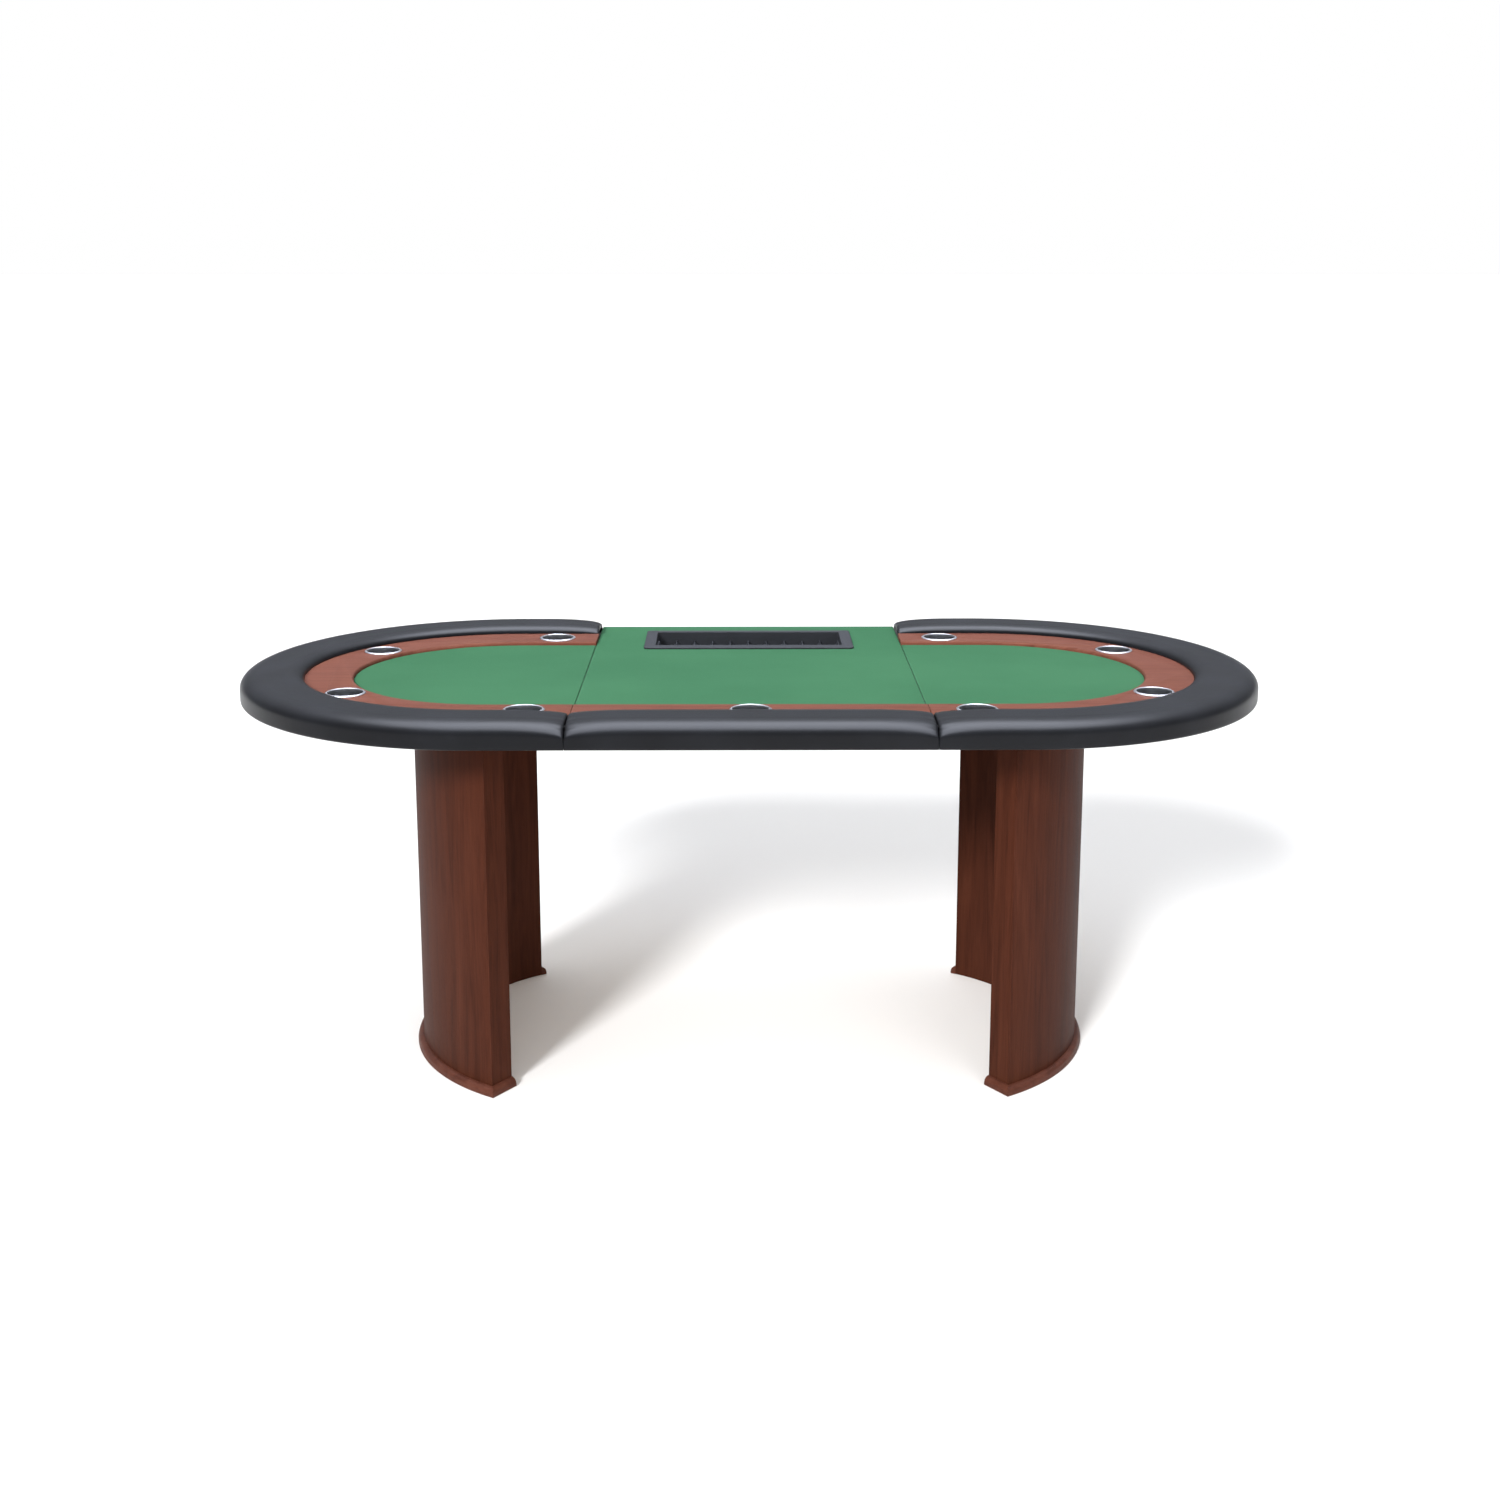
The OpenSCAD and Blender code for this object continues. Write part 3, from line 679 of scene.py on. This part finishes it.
def wingCloth(name, side, node, values):
    # a D-shaped sheet, its edge turned down into the seam and along the racetrack
    radius = trackInner - values["gap"]
    seam = clothRightLow.x
    r = values["edgeRound"]
    insets = [0.0, 0.0002, 0.0006, 0.0012, r, 0.006, 0.03]
    steps = 72
    rings = []
    for d in [insets[0]] + insets:
        ring = [(seam + d, -(radius - d)), (arcX - 0.08, -(radius - d))]
        for i in range(steps + 1):
            a = -math.pi / 2 + math.pi * i / steps
            ring.append((arcX + (radius - d) * math.cos(a), (radius - d) * math.sin(a)))
        ring += [(arcX - 0.08, radius - d), (seam + d, radius - d)]
        z = clothTop - edgeFall(d, r)
        rings.append([(side * x, y, z) for x, y in ring])
    rings[0] = [(x, y, clothTop - r - 0.0006) for x, y, z in rings[0]]
    under = [(x, y, clothTop - values["thick"]) for x, y, z in rings[4]]
    points, faces = sweepLoop([under] + rings)
    sheet = addPiece(name, points, faces, "cloth", 60)
    giveTo(sheet, "table", "playing_cloth", node)


def centreCloth(name, node, values):
    # one sheet from the front strip of wood back over the rear edge, open under the chip tray
    r, bend = values["edgeRound"], values["rearRound"]
    half = clothHigh.x
    front, rear = clothLow.y + values["gap"], clothHigh.y
    holeX = trayHigh.x - 0.022
    holeY0, holeY1 = trayLow.y + 0.028, trayHigh.y - 0.018
    edge = [0.0, 0.0002, 0.0006, 0.0012, r]
    xs = [-half + d for d in edge] + [-half + 0.012, -holeX, -holeX / 2, 0.0, holeX / 2, holeX, half - 0.012]
    xs += [half - d for d in reversed(edge)]
    run = [(front + d, clothTop - edgeFall(d, r)) for d in edge]
    run += [(front + (holeY0 - front) * t, clothTop) for t in (0.1, 0.3, 0.5, 0.7, 0.9, 1.0)]
    run += [(holeY0 + (holeY1 - holeY0) * 0.5, clothTop), (holeY1, clothTop), (rear - bend - 0.01, clothTop)]
    run += [(rear - bend + bend * math.sin(a), clothTop - bend + bend * math.cos(a))
            for a in (math.pi / 2 * i / 8 for i in range(9))]
    run += [(rear, underZ + 0.01), (rear, underZ + 0.0005), (rear - 0.0012, underZ - 0.0011),
            (rear - values["turnUnder"], underZ - 0.0013)]
    points = []
    for y, z in run:
        for x in xs:
            d = edgeFall(half - abs(x), r)
            if y >= rear - 1e-6 or z < underZ + 0.002:
                points.append((x, y - d, z))
            else:
                points.append((x, y, z - d))
    n = len(xs)
    holeColumns = [j for j in range(n - 1) if abs((xs[j] + xs[j + 1]) / 2) < holeX]
    holeRows = [i for i in range(len(run) - 1)
                if holeY0 - 1e-6 < run[i][0] and run[i + 1][0] < holeY1 + 1e-6 and run[i][1] == clothTop]
    faces = [(i * n + j, i * n + j + 1, (i + 1) * n + j + 1, (i + 1) * n + j)
             for i in range(len(run) - 1) for j in range(n - 1)
             if not (i in holeRows and j in holeColumns)]
    sheet = addPiece(name, points, faces, "cloth", 60)
    if sheet.data.polygons[0].normal.z < 0:
        sheet.data.flip_normals()
    body = sheet.modifiers.new("thickness", "SOLIDIFY")
    body.thickness = values["thick"] * 0.8
    body.offset = -1
    plainMesh(sheet)
    settle(sheet.data, 60)
    tuck = values["tuckIn"]
    width = 2 * (half + tuck)
    length = rear - front + (clothTop - underZ) + values["turnUnder"] + tuck
    giveTo(sheet, "table", "playing_cloth", node)
    hole = 2 * holeX * (holeY1 - holeY0)
    width * length - hole


wingCloth("clothLeft", -1, "cloth_left", cloth)
centreCloth("clothCentre", "cloth_centre", cloth)
wingCloth("clothRight", 1, "cloth_right", cloth)
print("cloth laid")

# Cups

cupShape = {"wall": 0.001, "footRound": 0.005, "rimLift": 0.0026, "lap": 0.0001, "segments": 72}


def spin(profile, x, y, segments):
    # turns a list of (radius, height) about an upright axis; it starts and ends on the axis
    rings = []
    for i in range(segments):
        a = math.tau * i / segments
        rings.append([(x + r * math.cos(a), y + r * math.sin(a), z) for r, z in profile])
    points = [p for ring in rings for p in ring]
    n = len(profile)
    faces = []
    for i in range(segments):
        a, b = i * n, ((i + 1) % segments) * n
        faces += [(a + j, a + j + 1, b + j + 1, b + j) for j in range(n - 1)]
    return points, faces


def makeCup(name, node, body, values):
    low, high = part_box(node)
    x, y = (low.x + high.x) / 2, (low.y + high.y) / 2
    rim = (high.x - low.x) / 2
    outer = rim - 0.005
    inner = outer - values["wall"]
    foot = values["footRound"]
    floorZ = low.z + values["wall"]
    on = trackTop + values["lap"]
    top = trackTop + values["rimLift"]
    profile = [(0, floorZ + 0.0009), (0.007, floorZ + 0.0008), (0.0085, floorZ + 0.0002), (0.020, floorZ)]
    profile += [(0.0212, floorZ + 0.0005), (0.0232, floorZ + 0.0005), (0.0245, floorZ)]
    profile += roundCorner(outer - foot, floorZ + foot - values["wall"], foot - values["wall"], -90, 0, 6)
    profile += [(inner, low.z + 0.03), (inner, trackTop - 0.004)]
    profile += [(inner + 0.0001, top - 0.0022), (inner + 0.0006, top - 0.0008),
                (inner + 0.0016, top - 0.0001), (inner + 0.0026, top), (inner + 0.0038, top - 0.0004),
                (rim - 0.0010, top - 0.0012), (rim - 0.0003, top - 0.0017), (rim, on + 0.0005),
                (rim - 0.0004, on)]
    profile += [(outer + 0.0004, on), (outer, on - 0.0005), (outer, low.z + foot)]
    profile += roundCorner(outer - foot, low.z + foot, foot, 0, -90, 6)[1:]
    profile += [(0, low.z)]
    points, faces = spin(profile, x, y, values["segments"])
    giveTo(addPiece(name, points, faces, "cup", 40), body, "cup_steel", node)


cupNodes = [n for n in frame["nodes"] if n.startswith("cup_")]
for node in sorted(cupNodes):
    parts = node.split("_")
    makeCup("cup" + "".join(part.capitalize() for part in parts[1:]), node, node + "_body", cupShape)
print("cups turned:", len(cupNodes))

# Bent leg panels and mouldings

panelLook = {"edgeRound": 0.0012, "arcSteps": 96}


class Tree:
    # a geometry node tree being grown, with named inputs
    def __init__(self, name, sizes):
        self.tree = bpy.data.node_groups.new(name, "GeometryNodeTree")
        self.tree.interface.new_socket("Geometry", in_out="INPUT", socket_type="NodeSocketGeometry")
        self.tree.interface.new_socket("Geometry", in_out="OUTPUT", socket_type="NodeSocketGeometry")
        self.ids = {}
        kinds = {float: "NodeSocketFloat", int: "NodeSocketInt", bool: "NodeSocketBool"}
        for key, value in sizes.items():
            kind = kinds.get(type(value), "NodeSocketMaterial")
            socket = self.tree.interface.new_socket(key, in_out="INPUT", socket_type=kind)
            if type(value) in kinds:
                socket.default_value = value
            self.ids[key] = socket.identifier
        self.given = self.tree.nodes.new("NodeGroupInput")
        self.made = self.tree.nodes.new("NodeGroupOutput")

    def size(self, key):
        return self.given.outputs[key]

    def add(self, kind, settings=None, inputs=None, output=0):
        node = self.tree.nodes.new(kind)
        for key, value in (settings or {}).items():
            setattr(node, key, value)
        for key, value in (inputs or {}).items():
            if isinstance(value, bpy.types.NodeSocket):
                self.tree.links.new(value, node.inputs[key])
            elif value is not None:
                node.inputs[key].default_value = value
        return node.outputs[output]

    def maths(self, operation, first, second):
        return self.add("ShaderNodeMath", {"operation": operation}, {0: first, 1: second})

    def end(self, geometry):
        real = self.add("GeometryNodeRealizeInstances", {}, {0: geometry})
        painted = self.add("GeometryNodeSetMaterial", {}, {0: real, "Material": self.size("Finish")})
        self.tree.links.new(painted, self.made.inputs[0])


def grown(name, tree, values, source=None):
    # a piece grown by a tree, its result made a plain mesh
    piece = bpy.data.objects.new(name, source or bpy.data.meshes.new(name))
    bpy.context.scene.collection.objects.link(piece)
    modifier = piece.modifiers.new(name, "NODES")
    modifier.node_group = tree.tree
    for key, value in values.items():
        modifier[tree.ids[key]] = value
    return plainMesh(piece)


def panelTree():
    # a flat section swept round an arc, upright, with its edges eased
    t = Tree("bentPanel", {
        "Radius": 0.4, "Thickness": 0.01, "Low": 0.0, "High": 0.7, "Start": 0.0, "Sweep": 1.0,
        "Centre": 0.0, "Edge": 0.001, "Steps": 64, "Finish": None})
    arc = t.add("GeometryNodeCurveArc", {"mode": "RADIUS"}, {
        "Resolution": t.size("Steps"), "Radius": t.size("Radius"),
        "Start Angle": t.size("Start"), "Sweep Angle": t.size("Sweep")})
    upright = t.add("GeometryNodeSetCurveNormal", {}, {0: arc})
    upright.node.mode = "Z_UP"
    height = t.maths("SUBTRACT", t.size("High"), t.size("Low"))
    section = t.add("GeometryNodeCurvePrimitiveQuadrilateral", {"mode": "RECTANGLE"}, {
        "Width": t.size("Thickness"), "Height": height})
    eased = t.add("GeometryNodeFilletCurve", {"mode": "POLY"}, {
        0: section, "Count": 2, "Radius": t.size("Edge")})
    wall = t.add("GeometryNodeCurveToMesh", {}, {0: upright, 1: eased, "Fill Caps": True})
    middle = t.maths("MULTIPLY", t.maths("ADD", t.size("High"), t.size("Low")), 0.5)
    shift = t.add("ShaderNodeCombineXYZ", {}, {0: t.size("Centre"), 2: middle})
    t.end(t.add("GeometryNodeTransform", {}, {0: wall, "Translation": shift}))
    return t


def bentPanel(name, tree, side, inner, outer, low, high, a0, a1, finish, edge):
    # a curved wall on one leg between two radii and two angles from the table's long axis
    start = a0 if side > 0 else math.pi - a1
    return grown(name, tree, {
        "Radius": (inner + outer) / 2, "Thickness": outer - inner, "Low": low, "High": high,
        "Start": start, "Sweep": a1 - a0, "Centre": side * leg["centre"], "Edge": edge,
        "Steps": max(6, round(panelLook["arcSteps"] * (a1 - a0) / 2)), "Finish": finishes[finish]})


def faceOut(mesh):
    shell = bmesh.new()
    shell.from_mesh(mesh)
    bmesh.ops.remove_doubles(shell, verts=shell.verts, dist=1e-6)
    bmesh.ops.recalc_face_normals(shell, faces=shell.faces)
    shell.to_mesh(mesh)
    shell.free()


def joined(name, first, *others):
    # puts several pieces into one mesh
    shell = bmesh.new()
    shell.from_mesh(first.data)
    for other in others:
        shell.from_mesh(other.data)
        bpy.data.objects.remove(other)
    shell.to_mesh(first.data)
    shell.free()
    first.name = name
    return first


def makeLegPanels(side, word):
    label = word.capitalize()
    a, skin, slack = leg["angle"], leg["skin"], 0.0001
    edge = panelLook["edgeRound"]
    coreOut, coreIn = leg["radius"] - skin, leg["inner"] + skin
    top = underZ - 0.0002
    outer = bentPanel("legOuterSkin" + label, panels, side, coreOut + slack, leg["radius"],
                      0, top, -a, a, "leg", edge)
    inner = bentPanel("legInnerSkin" + label, panels, side, leg["inner"], coreIn - slack,
                      0, top, -a, a, "leg", edge)
    post = math.radians(4.5)
    posts = [bentPanel("post", panels, side, coreIn, coreOut, 0, top, a0, a0 + post, "leg", 0.0006)
             for a0 in (-a, a - post)]
    ends = joined("legEndPosts" + label, *posts)
    for piece, node in ((outer, "outer_skin"), (inner, "inner_skin"), (ends, "end_posts")):
        faceOut(piece.data)
        settle(piece.data, 40)
        giveTo(piece, "table", "leg_wood", f"leg_{word}_{node}")


def mouldingSection(proud, high):
    # a flat foot, a small step, then a quarter round back to the leg
    step = high * 0.33
    r = high - step
    shape = [(0, 0.0), (proud - 0.0006, 0.0), (proud, 0.0006), (proud, step - 0.0005), (proud - 0.0004, step)]
    shape += roundCorner(proud - r - 0.0006, step, r, 0, 80, 9)
    last = shape[-1]
    return shape + [(0, last[1] + 0.0003)]


def makeMoulding(side, word):
    label = word.capitalize()
    low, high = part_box(f"leg_{word}_moulding")
    proud = leg["centre"] + leg["radius"]
    proud = max(abs(low.x), abs(high.x)) - proud
    section = mouldingSection(proud, high.z)
    centre = Vector((leg["centre"], 0))
    a = leg["angle"]

    def ring(p, way):
        return [(side * (p + way * d).x, (p + way * d).y, z) for d, z in section]

    def spoke(t):
        return Vector((math.cos(t), math.sin(t)))

    rings = []
    for i in range(panelLook["arcSteps"] + 1):
        t = -a + 2 * a * i / panelLook["arcSteps"]
        rings.append((centre + spoke(t) * leg["radius"], spoke(t)))
    for end, sign in ((0, -1), (-1, 1)):
        p, way = rings[end]
        face = Vector((-way.y, way.x)) * sign
        rings[end] = (p, way + face)
    curve = [ring(p, way) for p, way in rings]
    points, faces = sweepLoop(curve)
    piece = addPiece("legMoulding" + label, points, faces, "moulding", 32)
    giveTo(piece, "table", "moulding_wood", f"leg_{word}_moulding")
    halves = []
    for sign in (-1, 1):
        way = spoke(sign * a)
        face = Vector((-way.y, way.x)) * sign
        outer, inner = centre + way * leg["radius"], centre + way * leg["inner"]
        points, faces = sweepLoop([ring(inner, face), ring(outer - way * 0.0001, face + way)])
        halves.append(addPiece("half", points, faces, "moulding", 32))
    giveTo(joined("legMouldingEnds" + label, *halves), "table", "moulding_wood", f"leg_{word}_moulding_ends")


panels = panelTree()
for side, word in ((-1, "left"), (1, "right")):
    makeLegPanels(side, word)
    makeMoulding(side, word)
print("legs built")

# Wood, tray and hardware with eased edges

easedParts = [
    ("trackLeft", "track_left", "track", 0.0007, "table", "racetrack_wood"),
    ("trackCentre", "track_centre", "track", 0.0007, "table", "racetrack_wood"),
    ("trackRight", "track_right", "track", 0.0007, "table", "racetrack_wood"),
    ("chipTray", "chip_tray", "tray", 0.0009, "chip_tray_body", "tray_plastic"),
    ("latchPlates", "latch_plates", "nickel", 0.0003, "table", "latch_steel"),
    ("latchStrikes", "latch_strikes", "nickel", 0.0003, "table", "latch_steel"),
    ("legBracketsLeft", "leg_left_brackets", "zinc", 0.0004, "table", "zinc_steel"),
    ("legBracketsRight", "leg_right_brackets", "zinc", 0.0004, "table", "zinc_steel"),
]
easedParts += [(f"latchHook{i}", f"latch_hook_{i}", "nickel", 0.0005, f"latch_hook_{i}_body", "latch_steel")
               for i in (1, 2, 3, 4)]
for name, node, finish, width, body, slotName in easedParts:
    giveTo(softEdged(name, node, finish, width), body, slotName, node)
print("edges eased:", len(easedParts))

# Screws, bolts and staples

fixing = {
    "sides": 24,
    "boltSides": 6,
    "crown": 0.72,
    "boltCrown": 0.94,
    "slotWidth": 0.17,
    "slotReach": 0.62,
    "slotDepth": 0.55,
}

staple = {"spacing": 0.032, "crown": 0.011, "wire": 0.0008, "inset": 0.014, "below": 0.0012, "endGap": 0.02}


def measureFixing(spots):
    # one screw's seat, the way its head faces, and its radii and lengths
    centre = spots.mean(axis=0)
    way = numpy.linalg.svd(spots - centre, full_matrices=False)[2][0]
    along = (spots - centre) @ way
    out = numpy.linalg.norm(spots - centre - numpy.outer(along, way), axis=1)
    if out[along < along.min() + 1e-5].max() > out[along > along.max() - 1e-5].max():
        way, along = -way, -along
    shank = out[along < along.min() + 1e-5].max()
    head = out.max()
    wide = along[out > (head + shank) / 2 + 1e-5]
    seat = wide.min() if len(wide) else along.max() - shank * 0.5
    return {"seat": centre + way * seat, "way": way, "head": float(head), "shank": float(shank),
            "depth": float(along.max() - seat), "length": float(seat - along.min())}


def fixingsOf(node):
    shell = bmesh.new()
    shell.from_mesh(frame["nodes"][node].data)
    bmesh.ops.remove_doubles(shell, verts=shell.verts, dist=2e-6)
    left = set(shell.verts)
    found = []
    while left:
        island = [left.pop()]
        for vert in island:
            for edge in vert.link_edges:
                other = edge.other_vert(vert)
                if other in left:
                    left.remove(other)
                    island.append(other)
        found.append(measureFixing(numpy.array([tuple(vert.co) for vert in island])))
    shell.free()
    return found


def fixingTree():
    # a screw on every point, its head along the point's own direction
    t = Tree("fixings", {
        "Head": 0.004, "Depth": 0.002, "Shank": 0.002, "Length": 0.015, "Crown": 0.7, "Sides": 24,
        "Slot Width": 0.0007, "Slot Reach": 0.005, "Slot Depth": 0.001, "Cross": True, "Finish": None})
    head = t.add("GeometryNodeMeshCone", {}, {
        "Vertices": t.size("Sides"), "Radius Top": t.maths("MULTIPLY", t.size("Head"), t.size("Crown")),
        "Radius Bottom": t.size("Head"), "Depth": t.size("Depth")})
    crossed = head
    for first, second in (("Slot Reach", "Slot Width"), ("Slot Width", "Slot Reach")):
        size = t.add("ShaderNodeCombineXYZ", {}, {
            0: t.size(first), 1: t.size(second), 2: t.maths("MULTIPLY", t.size("Slot Depth"), 2.0)})
        bar = t.add("GeometryNodeMeshCube", {}, {"Size": size})
        lift = t.add("ShaderNodeCombineXYZ", {}, {2: t.size("Depth")})
        bar = t.add("GeometryNodeTransform", {}, {0: bar, "Translation": lift})
        crossed = t.add("GeometryNodeMeshBoolean", {"operation": "DIFFERENCE"}, {
            "Mesh 1": crossed, "Mesh 2": bar})
    top = t.add("GeometryNodeSwitch", {"input_type": "GEOMETRY"}, {
        "Switch": t.size("Cross"), "False": head, "True": crossed})
    shank = t.add("GeometryNodeMeshCylinder", {}, {
        "Vertices": 20, "Radius": t.size("Shank"), "Depth": t.size("Length")})
    drop = t.add("ShaderNodeCombineXYZ", {}, {2: t.maths("MULTIPLY", t.size("Length"), -0.5)})
    shank = t.add("GeometryNodeTransform", {}, {0: shank, "Translation": drop})
    screw = t.add("GeometryNodeJoinGeometry", {}, {0: top})
    t.tree.links.new(shank, screw.node.inputs[0])
    facing = t.add("GeometryNodeInputNamedAttribute", {"data_type": "FLOAT_VECTOR"}, {"Name": "facing"})
    turn = t.add("FunctionNodeAlignRotationToVector", {"axis": "Z"}, {"Vector": facing})
    t.end(t.add("GeometryNodeInstanceOnPoints", {}, {
        "Points": t.given.outputs["Geometry"], "Instance": screw, "Rotation": turn}))
    return t


def makeFixings(name, node, slotName, finish, cross, values):
    found = fixingsOf(node)
    spots = bpy.data.meshes.new(name + "Spots")
    spots.from_pydata([tuple(f["seat"]) for f in found], [], [])
    facing = spots.attributes.new("facing", "FLOAT_VECTOR", "POINT")
    facing.data.foreach_set("vector", [float(c) for f in found for c in f["way"]])
    one = found[0]
    piece = grown(name, fixings, {
        "Head": one["head"], "Depth": one["depth"], "Shank": one["shank"], "Length": one["length"],
        "Crown": values["crown" if cross else "boltCrown"],
        "Sides": values["sides" if cross else "boltSides"],
        "Slot Width": one["head"] * values["slotWidth"] * 2,
        "Slot Reach": one["head"] * values["slotReach"] * 2,
        "Slot Depth": one["depth"] * values["slotDepth"], "Cross": cross, "Finish": finishes[finish]}, spots)
    faceOut(piece.data)
    settle(piece.data, 30)
    giveTo(piece, "table", slotName, node)
    return len(found)


def stapleTree():
    # staples at even distances along a path, each lying along it
    t = Tree("staples", {"Spacing": 0.03, "Crown": 0.011, "Wire": 0.0008, "Finish": None})
    path = t.add("GeometryNodeMeshToCurve", {}, {0: t.given.outputs["Geometry"]})
    spots = t.add("GeometryNodeCurveToPoints", {"mode": "LENGTH"}, {"Length": t.size("Spacing")})
    t.tree.links.new(path, spots.node.inputs[0])
    along = spots.node.outputs["Tangent"]
    turn = t.add("FunctionNodeAlignRotationToVector", {"axis": "X"}, {"Vector": along})
    size = t.add("ShaderNodeCombineXYZ", {}, {0: t.size("Crown"), 1: t.size("Wire"), 2: t.size("Wire")})
    one = t.add("GeometryNodeMeshCube", {}, {"Size": size})
    t.end(t.add("GeometryNodeInstanceOnPoints", {}, {"Points": spots, "Instance": one, "Rotation": turn}))
    return t


def makeStaples(name, side, values):
    reach = boardEdge - values["inset"]
    spots = [base + out * reach for base, out, toEnd in railRun(side, rail) if toEnd > values["endGap"]]
    path = bpy.data.meshes.new(name + "Path")
    joins = [(i, i + 1) for i in range(len(spots) - 1)]
    path.from_pydata([(p.x, p.y, underZ - values["below"]) for p in spots], joins, [])
    piece = grown(name, staples, {
        "Spacing": values["spacing"], "Crown": values["crown"], "Wire": values["wire"],
        "Finish": finishes["zinc"]}, path)
    faceOut(piece.data)
    giveTo(piece, "table", "zinc_steel")


fixings = fixingTree()
staples = stapleTree()
count = makeFixings("railBolts", "rail_bolts", "zinc_steel", "zinc", False, fixing)
count += makeFixings("latchScrews", "latch_screws", "zinc_steel", "zinc", True, fixing)
count += makeFixings("legScrewsLeft", "leg_left_screws", "zinc_steel", "zinc", True, fixing)
count += makeFixings("legScrewsRight", "leg_right_screws", "zinc_steel", "zinc", True, fixing)
for side, word in ((-1, "Left"), (0, "Centre"), (1, "Right")):
    makeStaples("railStaples" + word, side, staple)
print("screws and bolts driven:", count)

# Pieces that keep their CAD shape

# The rail cores take the dark foam finish instead of wood. This is painted shade for the seam gaps where a
# core shows between the pads.
cadFinish = {
    "board": "plywood", "foam": "foam", "cloth": "cloth", "track": "track", "rail_core": "foam",
    "cup": "cup", "chip_tray": "tray", "seam_dowels": "coreWood", "rail_bolts": "zinc",
    "latch_screws": "zinc", "latch": "nickel", "leg_left_ribs": "coreWood", "leg_right_ribs": "coreWood",
    "leg_left_top": "coreWood", "leg_right_top": "coreWood", "leg_left_base": "coreWood",
    "leg_right_base": "coreWood", "leg_left_moulding": "moulding", "leg_right_moulding": "moulding",
    "leg_left_brackets": "zinc", "leg_right_brackets": "zinc", "leg_left_screws": "zinc",
    "leg_right_screws": "zinc", "leg": "leg",
}
for nodeName, node in frame["nodes"].items():
    start = max((key for key in cadFinish if nodeName.startswith(key)), key=len, default=None)
    if start:
        node.data.materials.clear()
        node.data.materials.append(finishes[cadFinish[start]])

# Floor

bpy.ops.mesh.primitive_plane_add(size=studio["floorSize"], location=(0, 0, cadLow.z - 0.0002))
floor = bpy.context.object
floor.name = "floor"
floor.data.materials.append(floorFinish(studio["floorColour"]))
